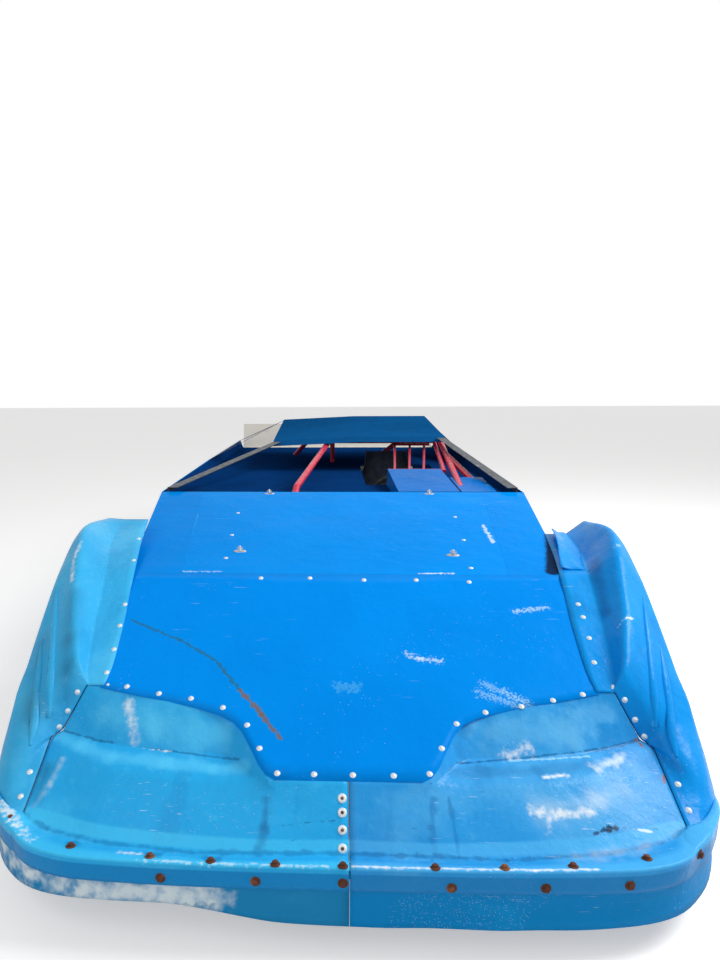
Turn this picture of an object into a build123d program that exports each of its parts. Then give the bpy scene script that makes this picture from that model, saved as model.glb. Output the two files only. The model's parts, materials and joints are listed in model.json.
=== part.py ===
from build123d import *
import os
from math import atan2, cos, radians, sin, tan

# A dirt-oval stock car with a wedge body, in millimetres.
# Stations run rearward from the nose tip, x is positive to the driver's side, z is up from the ground.

# Overall and running gear
FRONT_AXLE_S = 1270
WHEELBASE = 2640
REAR_OVERHANG = 1190
REAR_AXLE_S = FRONT_AXLE_S + WHEELBASE
LENGTH = REAR_AXLE_S + REAR_OVERHANG
FRONT_TRACK_X = 930
REAR_TRACK_X = 850
FRONT_TYRE_R = 356
REAR_TYRE_R = 366
TYRE_WIDTH = 360
TREAD_WIDTH = 290
KINGPIN_X = FRONT_TRACK_X - 195
STEER_ARM = 160

# Clearances
SEAT_GAP = 0.3
RUNNING_GAP = 5
PIN_GAP = 0.05
HOLE_GAP = 1.0

# Sheet and plastic
SHEET = 2
PLASTIC = 4

# Body lines
TONGUE_S, TONGUE_Z = 201, 403
SEAM_S, SEAM_Z = 955, 785
COWL_S, COWL_Z = 2050, 930
TAIL_S, TAIL_Z = LENGTH - 45, 965
SEAM_HALF = 834
COWL_HALF = 985
HOOD_FRONT_HALF = 634
HOOD_REAR_HALF = 756
SILL_Z = 100
SILL_HALF = 1030
DOOR_REAR_S = REAR_AXLE_S - 460
DECK_Z, DECK_RISE = 880, 20
DECK_END_S = TAIL_S - 8
OPENING_HALF = 485
ARCH_TOP_Z = 765
REAR_ARCH_R = 430

# Nose and valance
LIP_Z = 205
VALLEY_Z = 262
LEDGE_Z = 268
VALANCE_BOTTOM_Z = 95
VALANCE_TOP_Z = 222
BUMPER_R = 19

# Frame and cage tubes
RAIL_R = 25
FRAME_R = 20
CAGE_R = 19
BAR_R = 8
FRONT_RAIL_X = 360
SIDE_RAIL_X = REAR_TRACK_X - 250
REAR_RAIL_X = SIDE_RAIL_X - 100
FRONT_RAIL_Z = 215
SIDE_RAIL_Z = 180
REAR_RAIL_Z = 470
CAGE_S = REAR_AXLE_S - 110
REAR_KICK_S = REAR_AXLE_S + 390
FRAME_END_S = LENGTH - 250
FRAME_JOINTS_S = (FRONT_AXLE_S + 430, REAR_AXLE_S - 470)
RAIL_FRONT_S = FRONT_AXLE_S - 710
RADIATOR_S = FRONT_AXLE_S - 570
FIREWALL_S, FIREWALL_TOP_Z = COWL_S - 50, 840
TOWER_TOP_X, TOWER_TOP_Z = 430, 660
LINK_S, LINK_Z, LINK_HALF = REAR_AXLE_S - 350, 480, SIDE_RAIL_X - 60
LINK_X = 400
LINK_CROSS_S = DOOR_REAR_S - 150
CROSS_ROD_S = REAR_AXLE_S + 140
FLOOR_CROSS_S = COWL_S + 510
ENGINE_HALF, ENGINE_S = 250, (FRONT_AXLE_S + 60, COWL_S - 150)
GEARBOX_END_S, SHAFT_Z = COWL_S + 270, 330
SNOUT_S, SNOUT_Z = REAR_AXLE_S - 210, 362
SHOCK_BAR_R, SHOCK_BAR_S, SHOCK_BAR_Z = 22, REAR_AXLE_S + 110, 800
CELL_S, CELL_Z, CELL_HALF = (REAR_KICK_S + 20, FRAME_END_S - 170), 290, REAR_RAIL_X - 160

# Roof
ROOF_FRONT_S, ROOF_REAR_S = REAR_AXLE_S - 710, REAR_AXLE_S + 360
ROOF_FRONT_Z, ROOF_REAR_Z = 1128, 1222
ROOF_HALF = 605
ROOF_X = 140
ROOF_TILT = 1.35
ROOF_CROWN = 14
ROOF_LIP, ROOF_FOLD = 38, 12
POST_DROP = 8
SAIL_END_S = TAIL_S - 125
FENDER_SIDE_S = FRONT_AXLE_S + 130

# Hubs and steering
SPINDLE_R = 20
ROTOR_R = 150
ROTOR_T = 10
RIM_HALF = 165
HUB_FACE = -55
STUD_CIRCLE_R = 130.2
PIN_R = 8
KNUCKLE_LOW_Z = 250
KNUCKLE_HIGH_Z = 462
SHOCK_FOOT_Z = 246
REAR_FOOT_Z = 325
REAR_SHOCK_X = REAR_TRACK_X - 315
RACK_S = FRONT_AXLE_S - 210
RACK_Z = 270

os.makedirs("parts", exist_ok=True)


def slope_z(s):
    """Height of the upper body surface at a station."""
    if s < SEAM_S:
        return TONGUE_Z + (s - TONGUE_S) * (SEAM_Z - TONGUE_Z) / (SEAM_S - TONGUE_S)
    if s < COWL_S:
        return SEAM_Z + (s - SEAM_S) * (COWL_Z - SEAM_Z) / (COWL_S - SEAM_S)
    return COWL_Z + (s - COWL_S) * (TAIL_Z - COWL_Z) / (TAIL_S - COWL_S)


def save(name, *solids):
    """Write one node, with the origin moved to the middle of the car's length."""
    body = solids[0] if len(solids) == 1 else Compound(children=list(solids))
    export_step(body.moved(Location((0, -LENGTH / 2, 0))), f"parts/{name}.step")


def other_side(shape):
    return mirror(shape, about=Plane.YZ)


def both(shape):
    return [shape, other_side(shape)]


def weld(*shapes):
    """Fuse pieces that are welded together, one after the other."""
    body = shapes[0]
    for shape in shapes[1:]:
        body = body.fuse(shape)
    return body


def cut_out(body, tools):
    """Cut each tool from a body in turn."""
    for tool in tools:
        body = body.cut(tool)
    return body


def rod(start, end, radius):
    start, end = Vector(*start), Vector(*end)
    plane = Plane(origin=start, z_dir=end - start)
    return Solid.make_cylinder(radius, (end - start).length, plane)


def run(points, radius):
    """A tube through points, with a ball at each inner bend."""
    pieces = [rod(a, b, radius) for a, b in zip(points, points[1:])]
    pieces += [Solid.make_sphere(radius, Plane(p), -90, 90, 360) for p in points[1:-1]]
    return weld(*pieces)


def frame_of(runs):
    """Weld tubes given as (points, radius)."""
    return weld(*[run(points, radius) for points, radius in runs])


def block(x, s, z):
    """A box between two values on each axis."""
    size = (x[1] - x[0], s[1] - s[0], z[1] - z[0])
    return Solid.make_box(*size, Plane((x[0], s[0], z[0])))


def on_tube(start, end, share):
    """A point on the line between two points of a tube."""
    return tuple(a + share * (b - a) for a, b in zip(start, end))


def offset_line(points, wall):
    """The same open line moved to its left by the wall, with mitred corners."""
    moved = []
    last = len(points) - 1
    for i, (px, py) in enumerate(points):
        normals = []
        for a, b in ((i - 1, i), (i, i + 1)):
            if a < 0 or b > last:
                continue
            dx, dy = points[b][0] - points[a][0], points[b][1] - points[a][1]
            size = (dx * dx + dy * dy) ** 0.5
            normals.append((-dy / size, dx / size))
        nx = sum(n[0] for n in normals)
        ny = sum(n[1] for n in normals)
        grow = wall * len(normals) / (nx * nx + ny * ny)
        moved.append((px + nx * grow, py + ny * grow))
    return moved


def band(points, wall):
    """Closed outline of a thin wall that has the given line on its outside."""
    return list(points) + offset_line(points, wall)[::-1]


def skin(sections):
    """A ruled shell through closed outlines with equal counts of points."""
    wires = [Wire.make_polygon([Vector(*p) for p in outline], close=True) for outline in sections]
    return Solid.make_loft(wires, ruled=True)


def plate(points, thickness, plane):
    """A flat plate under a plane, with its outline given on that plane."""
    face = Face(Wire.make_polygon([plane.from_local_coords(Vector(u, v, 0)) for u, v in points], close=True))
    return Solid.extrude(face, plane.z_dir * -thickness)


def slope_plane(s0, z0, s1, z1):
    """A plane through two heights, with its own y running rearward up the slope."""
    angle = atan2(z1 - z0, s1 - s0)
    return Plane(origin=(0, s0, z0), x_dir=(1, 0, 0), z_dir=(0, -sin(angle), cos(angle)))


# Nose: one moulding per side, seen as sections across the car.
# Columns: x, lip s, valley s, shelf edge s, z, shelf back s, z, panel fold s
NOSE_SECTIONS = [
    (0, 0, 80, 150, 345, 172, 371, 188),
    (205, 3, 66, 172, 362, 187, 384, 196),
    (240, 5, 64, 190, 372, 203, 396, 208),
    (352, 12, 64, 218, 376, 310, 400, 378),
    (480, 20, 75, 226, 376, 325, 400, 407),
    (690, 45, 105, 268, 376, 357, 400, 450),
    (790, 66, 133, 314, 376, 391, 400, 470),
]
FLANGE_LAP = 40
FLARE_START = (815, 500)
FLARE_START_HEADING = 22

# Flare sections from the nose joint round to the wheel.
# Columns: flange x, flange s, heading from straight ahead, then reach and height of the
# lip bottom, lip top, lower wall, middle wall, shoulder, ridge and valley
FLARE_SECTIONS = [
    (820, 550, 34, (390, 205), (390, 262), (375, 285), (300, 340), (200, 440), (62, 556), (35, 548)),
    (825, 680, 60, (328, 200), (335, 255), (334, 285), (330, 312), (320, 345), (130, 613), (70, 598)),
    (828, 750, 75, (292, 200), (299, 260), (299, 330), (299, 430), (296, 515), (155, 660), (75, 636)),
    (831, 860, 90, (280, 200), (287, 260), (289, 380), (289, 560), (286, 690), (203, 738), (85, 700)),
    (834, 955, 90, (278, 200), (285, 260), (286, 400), (286, 600), (282, 765), (207, 805), (88, 748)),
    (868, 1155, 90, (245, 200), (251, 260), (252, 450), (252, 700), (247, 890), (182, 950), (70, 795)),
    (905, 1400, 90, (200, 200), (206, 260), (207, 450), (207, 700), (195, 875), (110, 932), (45, 842)),
]


def under_panel(s):
    """Height of the flange that lies just under the sheet."""
    return slope_z(s) - SHEET - SEAT_GAP


def nose_line(row):
    """Outer line of the nose at one x, from the flange forward and down to the lip."""
    x, lip, valley, edge_s, edge_z, shelf_s, shelf_z, fold = row
    return [
        (fold + FLANGE_LAP, under_panel(fold + FLANGE_LAP)),
        (fold, under_panel(fold)),
        (shelf_s, shelf_z),
        (edge_s, edge_z),
        (valley, VALLEY_Z),
        (lip + 10, LEDGE_Z),
        (lip, LEDGE_Z - 10),
        (lip, LIP_Z),
    ]


def flare_joint_line():
    """The line that the nose and the flare share, as reach ahead of the flare's start, and height."""
    heading = radians(FLARE_START_HEADING)
    fold = FLARE_START[1] - 30 * cos(heading)
    lap = FLARE_START[1] + 10 * cos(heading)
    return [
        (10, under_panel(lap)),
        (-30, under_panel(fold)),
        (-150, 480),
        (-205, 436),
        (-322, VALLEY_Z + 20),
        (-365, LEDGE_Z),
        (-375, LEDGE_Z - 10),
        (-375, LIP_Z),
    ]


def joint_point(reach, z, shift=0):
    """A point in the upright plane where nose and flare meet."""
    heading = radians(FLARE_START_HEADING)
    x = FLARE_START[0] - reach * sin(heading) + shift * cos(heading)
    return (x, FLARE_START[1] + reach * cos(heading) + shift * sin(heading), z)


def nose():
    """Half of the moulded nose, on the driver's side."""
    lines = [nose_line(row) for row in NOSE_SECTIONS]
    columns = [max(row[0], SEAT_GAP / 2) for row in NOSE_SECTIONS]
    sections = [[(x, s, z) for s, z in band(line, PLASTIC)] for x, line in zip(columns, lines)]
    sections.append([joint_point(r, z, -SEAT_GAP) for r, z in band(flare_joint_line(), PLASTIC)])
    return skin(sections)


def flare_line(row):
    """Outer line of the flare in one upright plane, from its flange out and down to its lip."""
    flange_x, flange_s, _heading, *reaches = row
    line = [(r, z) for r, z in reversed(reaches)]
    return [(0, slope_z(flange_s))] + line


def flare():
    """The moulded fender flare round the front wheel, on the driver's side."""
    sections = [[joint_point(r, z) for r, z in band(flare_joint_line(), PLASTIC)]]
    for row in FLARE_SECTIONS:
        heading = radians(row[2])
        outline = [(-r, z) for r, z in band([(-r, z) for r, z in flare_line(row)], PLASTIC)]
        sections.append([(row[0] + r * sin(heading), row[1] - r * cos(heading), z) for r, z in outline])
    return skin(sections).cut(wheel_opening(SILL_HALF + 15))


def wheel_opening(from_x):
    """Space round a steered front wheel, through the side of the body outward of an x."""
    width = 2 * OPENING_HALF
    height = ARCH_TOP_Z + 200
    place = Plane.YZ.offset(from_x) * Pos(FRONT_AXLE_S, ARCH_TOP_Z - height / 2)
    return extrude(place * RectangleRounded(width, height, 190), 400).solid()


def valance():
    """The separate strip under the bumper ledge, on the driver's side."""
    plan = [(SEAT_GAP / 2, 0)] + [(row[0], row[1]) for row in NOSE_SECTIONS[1:]]
    plan += [joint_point(-375, 0)[:2]]
    for flange_x, flange_s, heading, (reach, _z), *_rest in FLARE_SECTIONS[:2]:
        plan.append((flange_x + reach * sin(radians(heading)), flange_s - reach * cos(radians(heading))))
    inner = offset_line(plan, PLASTIC + SEAT_GAP)
    outline = band(inner, SHEET + 1)
    face = Face(Wire.make_polygon([Vector(x, s, VALANCE_BOTTOM_Z) for x, s in outline], close=True))
    return Solid.extrude(face, Vector(0, 0, VALANCE_TOP_Z - VALANCE_BOTTOM_Z))


def nose_panel():
    """The flat sheet from the nose tongue up to the riveted seam."""
    plane = slope_plane(TONGUE_S, TONGUE_Z, SEAM_S, SEAM_Z)
    rise = ((SEAM_Z - TONGUE_Z) ** 2 + (SEAM_S - TONGUE_S) ** 2) ** 0.5 / (SEAM_S - TONGUE_S)
    # Columns: x, station, corner radius
    corners = [(217, TONGUE_S, 25), (345, 395, 90), (800, 487, 12), (SEAM_HALF - 15, 600, 8)]
    top = (SEAM_S - TONGUE_S - 2 * SEAT_GAP) * rise
    half = [(x, (s - TONGUE_S) * rise) for x, s, _r in corners] + [(SEAM_HALF - 1, top)]
    radii = [r for _x, _s, r in corners] + [2]
    points = half + [(-x, y) for x, y in reversed(half)]
    outline = FilletPolyline(*points, radius=radii + radii[::-1], close=True)
    return extrude(plane * make_face(outline), -SHEET).solid()


def bonnet():
    """The pinned bonnet sheet between the riveted seam and the cowl."""
    plane = slope_plane(SEAM_S, SEAM_Z, COWL_S, COWL_Z)
    rise = ((COWL_Z - SEAM_Z) ** 2 + (COWL_S - SEAM_S) ** 2) ** 0.5
    front, rear = HOOD_FRONT_HALF - SEAT_GAP / 2, HOOD_REAR_HALF - SEAT_GAP / 2
    lip = SEAT_GAP / 2
    return plate([(-front, lip), (front, lip), (rear, rise), (-rear, rise)], SHEET, plane)


def side_line(s):
    """Outer line of a body side at a station, from the top down."""
    top = (COWL_HALF, slope_z(s))
    if s < COWL_S:
        share = (s - FENDER_SIDE_S) / (COWL_S - FENDER_SIDE_S)
        return [(905 + share * (COWL_HALF - 905), slope_z(s)), (990 + share * 30, 520),
                (1020 + share * 10, SILL_Z)]
    if s > DOOR_REAR_S:
        share = (s - DOOR_REAR_S) / (TAIL_S - DOOR_REAR_S)
        return [(COWL_HALF - share * 25, top[1]), (1020 - share * 20, 520),
                (SILL_HALF - share * 10, SILL_Z + share * 80)]
    return [top, (1020, 520), (SILL_HALF, SILL_Z)]


def side_sheet(stations):
    """A body side through the given stations, on the driver's side."""
    sections = []
    for s in stations:
        line = [(-x, z) for x, z in side_line(s)]
        sections.append([(-u, s, z) for u, z in band(line, SHEET)])
    return skin(sections)


def fender_top():
    """Fender sheet beside the bonnet, with its side down behind the wheel."""
    plane = slope_plane(SEAM_S, SEAM_Z, COWL_S, COWL_Z)
    rise = ((COWL_Z - SEAM_Z) ** 2 + (COWL_S - SEAM_S) ** 2) ** 0.5 / (COWL_S - SEAM_S)
    outer = [(row[0] - 4 * SEAT_GAP, row[1]) for row in FLARE_SECTIONS[4:]]
    outline = [(HOOD_FRONT_HALF + SEAT_GAP / 2, 0)]
    outline += [(x, (s - SEAM_S) * rise) for x, s in outer]
    outline += [(905, (FENDER_SIDE_S + SEAT_GAP - SEAM_S) * rise)]
    outline += [(COWL_HALF, (COWL_S - SEAM_S) * rise),
                (HOOD_REAR_HALF + SEAT_GAP / 2, (COWL_S - SEAM_S) * rise)]
    top = plate(outline, SHEET, plane)
    side = side_sheet([FENDER_SIDE_S + SEAT_GAP, COWL_S])
    return weld(top, side).cut(wheel_opening(850))


def door_side():
    """The fixed door sheet."""
    return side_sheet([COWL_S + SEAT_GAP, DOOR_REAR_S])


def quarter_side():
    """The rear quarter sheet with its wheel arch."""
    arch = rod((850, REAR_AXLE_S, REAR_TYRE_R), (1200, REAR_AXLE_S, REAR_TYRE_R), REAR_ARCH_R)
    below = block((850, 1200), (REAR_AXLE_S - REAR_ARCH_R, REAR_AXLE_S + REAR_ARCH_R), (-100, REAR_TYRE_R))
    return side_sheet([DOOR_REAR_S + SEAT_GAP, REAR_AXLE_S, TAIL_S]).cut(weld(arch, below))


# Cockpit, with the driver on the positive side
SEAT_X = 360
SEAT_FRONT_S = CAGE_S - 780
COCKPIT_X = (165, 700)
COCKPIT_S = (COWL_S + 570, CAGE_S - 160)
FOOTWELL_X = (345, 620)
FOOTWELL_S = COWL_S + 150
TUB_X = (130, SIDE_RAIL_X - 25)
TUB_S = (COWL_S + 40, CAGE_S - 400)
TUB_REAR_TOP_S = CAGE_S - 160
TUB_FLOOR_Z = 208
RAMP_RISE = 55
RAMP_START_S, RAMP_END_S = COWL_S + 12, COCKPIT_S[0] - 7
SHOULDER_X = 845

# Steering column and wheel
COLUMN_R = 10
COLUMN_START = (365, COWL_S + 70, 600)
COLUMN_END = (375, COWL_S + 740, 735)
COLUMN_LOWER = [COLUMN_START, (320, RACK_S + 90, RACK_Z + 60), (150, RACK_S + 30, RACK_Z + 30)]
HANGER_X, HANGER_S = 365, COWL_S + 86
WHEEL_RIM_R = 170

# Cage tubes as lists of (x, s, z); each leg stands on the frame
FOOT_Z = SIDE_RAIL_Z + RAIL_R + SEAT_GAP
CROSS_FOOT_Z = SIDE_RAIL_Z + FRAME_R + SEAT_GAP
CAGE_FOOT_S = COWL_S + 10
HALO_S, HALO_Z, HALO_REAR_Z = CAGE_S - 400, 1096, 1140
BAR_LOW_Z, BAR_HIGH_Z = 420, 640
BAR_OUT_X, BAR_FRONT_S, BAR_REAR_S = 820, COWL_S + 400, CAGE_S - 600
HALO_X = (-65, 745)
A_POST_LEFT = [(-240, CAGE_FOOT_S, CROSS_FOOT_Z), (-240, CAGE_FOOT_S, 300),
               (-268, CAGE_FOOT_S + 80, 850), (-250, CAGE_FOOT_S + 180, 930), (HALO_X[0], HALO_S, HALO_Z)]
A_POST_RIGHT = [(SIDE_RAIL_X, CAGE_FOOT_S, FOOT_Z), (SIDE_RAIL_X, CAGE_FOOT_S, 300),
                (SIDE_RAIL_X + 55, CAGE_FOOT_S + 70, 850), (SIDE_RAIL_X + 80, CAGE_FOOT_S + 160, 925),
                (HALO_X[1], HALO_S, HALO_Z)]
A_POST_BRACE = [(BAR_OUT_X + 10, BAR_FRONT_S, BAR_HIGH_Z), (BAR_OUT_X - 20, BAR_FRONT_S - 30, 850),
                (BAR_OUT_X - 25, BAR_FRONT_S - 10, 935), on_tube(A_POST_RIGHT[-2], A_POST_RIGHT[-1], 0.6525)]
DASH_BAR = [A_POST_LEFT[2], A_POST_RIGHT[2]]
B_BRACE = [(HALO_X[1] - 45, HALO_S, HALO_Z), (HALO_X[1] - 90, RAMP_END_S + 20, COWL_Z + 35)]
HOOP_LEFT = [(-SIDE_RAIL_X, CAGE_S, FOOT_Z), (-SIDE_RAIL_X, CAGE_S, BAR_LOW_Z),
             (-(SIDE_RAIL_X - 170), CAGE_S, 780), (-170, CAGE_S, HALO_REAR_Z)]
HOOP_RIGHT = [(SIDE_RAIL_X, CAGE_S, FOOT_Z), (SIDE_RAIL_X, CAGE_S, 500), (SIDE_RAIL_X + 40, CAGE_S, 740),
              (HALO_X[1], CAGE_S, HALO_REAR_Z)]
HOOP_BAR = [on_tube(HOOP_LEFT[1], HOOP_LEFT[2], 0.611), on_tube(HOOP_RIGHT[1], HOOP_RIGHT[2], 0.583)]
STAY_S, STAY_BEND_Z = FRAME_END_S - 210, 760


def cage_runs():
    """The tubes of the cage, each a list of points and a radius."""
    stay_foot_z = rear_rail_z(STAY_S) + RAIL_R + 2 * SEAT_GAP
    hoop = HOOP_LEFT + HOOP_RIGHT[::-1]
    rear_left = [HOOP_LEFT[-1], (-480, STAY_S, STAY_BEND_Z), (-REAR_RAIL_X, STAY_S, STAY_BEND_Z - 60),
                 (-REAR_RAIL_X, STAY_S, stay_foot_z)]
    rear_right = [HOOP_RIGHT[-1], (480, STAY_S, STAY_BEND_Z), (REAR_RAIL_X, STAY_S, STAY_BEND_Z - 60),
                  (REAR_RAIL_X, STAY_S, stay_foot_z)]
    front_bar = [A_POST_LEFT[-1], A_POST_RIGHT[-1]]
    side_left = [A_POST_LEFT[-1], HOOP_LEFT[-1]]
    side_right = [A_POST_RIGHT[-1], HOOP_RIGHT[-1]]
    diagonal = [(590, CAGE_S + 4, HALO_REAR_Z), (-66, CAGE_S - 3, BAR_HIGH_Z)]
    middle = [(-45, CAGE_S, HALO_REAR_Z), (-45, CAGE_S, BAR_HIGH_Z)]
    door_low = [on_tube(A_POST_RIGHT[1], A_POST_RIGHT[2], 0.218), (BAR_OUT_X, BAR_FRONT_S, BAR_LOW_Z),
                (BAR_OUT_X, BAR_REAR_S, BAR_LOW_Z), (SIDE_RAIL_X + 25, CAGE_S - 280, BAR_LOW_Z),
                (SIDE_RAIL_X, CAGE_S, BAR_LOW_Z)]
    door_high = [on_tube(A_POST_RIGHT[1], A_POST_RIGHT[2], 0.618), A_POST_BRACE[0],
                 (BAR_OUT_X + 10, BAR_REAR_S + 50, BAR_HIGH_Z), (SIDE_RAIL_X + 35, CAGE_S - 200, BAR_HIGH_Z),
                 HOOP_BAR[1]]
    cage = [A_POST_LEFT, A_POST_RIGHT, hoop, rear_left, rear_right, front_bar, side_left, side_right,
            HOOP_BAR, diagonal, middle, door_low, door_high, DASH_BAR, A_POST_BRACE]
    return [(points, CAGE_R) for points in cage] + [(B_BRACE, CAGE_R * 0.75)]


def roll_cage():
    """Welded cage with four stubs that carry the roof."""
    stubs = []
    for share in (0.15, 0.9):
        s = HALO_S + share * (CAGE_S - HALO_S)
        z = HALO_Z + share * (HALO_REAR_Z - HALO_Z)
        for x in (HALO_X[0] + share * (HOOP_LEFT[-1][0] - HALO_X[0]), HALO_X[1] - 12):
            stubs.append(rod((x, s, z), (x, s, roof_under(x, s)), CAGE_R * 0.6))
    return weld(frame_of(cage_runs()), *stubs)


def roof_z(x, s):
    """Outer height of the roof, which sits a little higher on the driver's side."""
    share = (s - ROOF_FRONT_S) / (ROOF_REAR_S - ROOF_FRONT_S)
    along = ROOF_FRONT_Z + share * (ROOF_REAR_Z - ROOF_FRONT_Z)
    across = 1 - abs(x - ROOF_X) / ROOF_HALF
    return along + (x - ROOF_X) * tan(radians(ROOF_TILT)) + ROOF_CROWN * across


def roof_under(x, s):
    return roof_z(x, s) - SHEET - SEAT_GAP - 2


def roof():
    """Sheet roof with its front edge and rear edge folded down."""
    sections = []
    for x in (ROOF_X - ROOF_HALF, ROOF_X, ROOF_X + ROOF_HALF):
        front, rear = roof_z(x, ROOF_FRONT_S), roof_z(x, ROOF_REAR_S)
        line = [(ROOF_REAR_S, rear - 20), (ROOF_REAR_S - 6, rear), (ROOF_FRONT_S, front),
                (ROOF_FRONT_S - ROOF_FOLD, front - ROOF_LIP)]
        sections.append([(x, s, z) for s, z in band(line, SHEET)])
    return skin(sections)


def roof_post(side):
    """Angle post from a cowl corner to a front corner of the roof."""
    base_x = side * (COWL_HALF - 60)
    top_x = ROOF_X + side * (ROOF_HALF - 28)
    top_z = roof_z(top_x, ROOF_FRONT_S) - POST_DROP
    profile = [(0, 0), (56, 0), (56, 3), (3, 3), (3, 28), (0, 28)]
    base = [(base_x + side * (28 - u), COWL_S + 2 * SEAT_GAP, COWL_Z + 25 - v) for u, v in profile]
    top = [(top_x + side * (28 - u), ROOF_FRONT_S - ROOF_FOLD - SEAT_GAP, top_z - v) for u, v in profile]
    return skin([base, top])


def sail_panel(side):
    """Side sheet from the quarter up to a rear corner of the roof; one has lost its pane."""
    roof_x = ROOF_X + side * (ROOF_HALF - 2)
    rear = Vector(roof_x, ROOF_REAR_S - 30, roof_z(roof_x, ROOF_REAR_S - 30) - SHEET - 2 * SEAT_GAP)
    foot, tail = [Vector(side * (side_line(s)[0][0] - SHEET), s, slope_z(s) + 2 * SEAT_GAP)
                  for s in (DOOR_REAR_S, SAIL_END_S)]
    normal = (rear - foot).cross(tail - foot).normalized()
    front = foot + (rear - foot) * 0.80 + Vector(side * 80, -20, 10)
    front -= normal * normal.dot(front - foot)
    shift = normal * (SHEET if normal.X * side < 0 else -SHEET)
    sheet = [foot, front, rear, tail]
    if side < 0:
        return open_sail(sheet, shift)
    return Solid.extrude(Face(Wire.make_polygon(sheet, close=True)), shift)


def open_sail(corners, shift):
    """A sail panel cut out to a narrow frame."""
    middle = (corners[0] + corners[1] + corners[2] + corners[3]) * 0.25
    hole = [middle + (corner - middle) * 0.72 for corner in corners]
    frame = Face(Wire.make_polygon(corners, close=True))
    return Solid.extrude(frame, shift).cut(Solid.extrude(Face(Wire.make_polygon(hole, close=True)), shift))


def deck_floor(s):
    """Height of the dropped deck, which rises a little to the tail."""
    return DECK_Z + DECK_RISE * (s - COWL_S) / (TAIL_S - COWL_S)


def deck():
    """Dropped interior deck from the cowl to the tail, open at the cockpit."""
    sections = []
    for s in (COWL_S + SEAT_GAP, COWL_S + 6, DECK_END_S):
        rim = side_line(s)[0][0] - 2 * SHEET - SEAT_GAP
        floor = slope_z(s) - 4 if s < COWL_S + 3 else deck_floor(s)
        line = [(rim, slope_z(s) - 1), (rim - 25, floor), (-(rim - 25), floor), (-rim, slope_z(s) - 1)]
        sections.append([(x, s, z) for x, z in band(line, SHEET)])
    shell = skin(sections)
    cockpit = block(COCKPIT_X, COCKPIT_S, (DECK_Z - 100, DECK_Z + 200))
    footwell = block(FOOTWELL_X, (FOOTWELL_S, COCKPIT_S[0] + 1), (DECK_Z - 100, DECK_Z + 200))
    holes = [run(points, radius + HOLE_GAP) for points, radius in cage_runs()]
    return cut_out(shell, [weld(cockpit, footwell)] + holes)


def dash_cowl():
    """The raised ramp in front of the driver, open at its rear, and the shoulder sheet beside it."""
    low, low_rear = deck_floor(RAMP_START_S) + 2 * SEAT_GAP, deck_floor(RAMP_END_S) + 2 * SEAT_GAP
    front = [(313, low), (315, COWL_Z + 1), (648, COWL_Z + 1), (652, low)]
    rear = [(292, low_rear), (300, COWL_Z + RAMP_RISE), (628, COWL_Z + RAMP_RISE), (640, low_rear)]
    rows = [(RAMP_START_S, front), (RAMP_END_S, rear)]
    ramp = skin([[(x, s, z) for x, z in band(line, -SHEET)] for s, line in rows])
    plane = slope_plane(COWL_S + 8, COWL_Z + 1, FOOTWELL_S + 240, COWL_Z + 28)
    shoulder = plate([(656, 0), (SHOULDER_X, 0), (SHOULDER_X, 380), (656, 380)], SHEET, plane)
    holes = [run(points, CAGE_R + HOLE_GAP) for points in (A_POST_RIGHT, A_POST_BRACE)]
    return cut_out(ramp, holes), cut_out(shoulder, holes)


def windshield_bars():
    """Thin bars from a cross bar behind the ramp up to the halo."""
    cross_r = BAR_R + 1
    low_s, low_z = RAMP_END_S + cross_r + SEAT_GAP, COWL_Z + RAMP_RISE - cross_r
    top_z = HALO_Z - CAGE_R - cross_r - SEAT_GAP
    # Columns: x at the bottom, x at the top
    bars = [(345, 415), (435, 525), (525, 630)]
    lower = rod((305, low_s, low_z), (640, low_s, low_z), cross_r)
    upper = rod((395, HALO_S, top_z), (668, HALO_S, top_z), cross_r)
    tubes = [rod((a, low_s, low_z), (b, HALO_S, top_z), BAR_R) for a, b in bars]
    return weld(lower, *tubes, upper)


def spoiler():
    """Upright blade across the tail."""
    foot_s, foot_z = 4975, deck_floor(4975) + 2 * SEAT_GAP
    line = [(foot_s - 30, foot_z), (foot_s, foot_z + 2), (foot_s + 55, foot_z + 225)]
    blade = skin([[(x, s, z) for s, z in band(line, SHEET + 1)] for x in (-915, 915)])
    return blade


def tail_panel():
    """Rear sheet under the spoiler."""
    outer, front = side_line(TAIL_S)[0][0] - SHEET - 1, DECK_END_S + SEAT_GAP
    return block((-outer, outer), (front, front + SHEET), (560, deck_floor(TAIL_S)))


def rear_rail_z(s):
    """Height of the rear rails, which fall a little to the tail."""
    return REAR_RAIL_Z - 10 * (s - REAR_KICK_S) / (FRAME_END_S - REAR_KICK_S)


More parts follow.
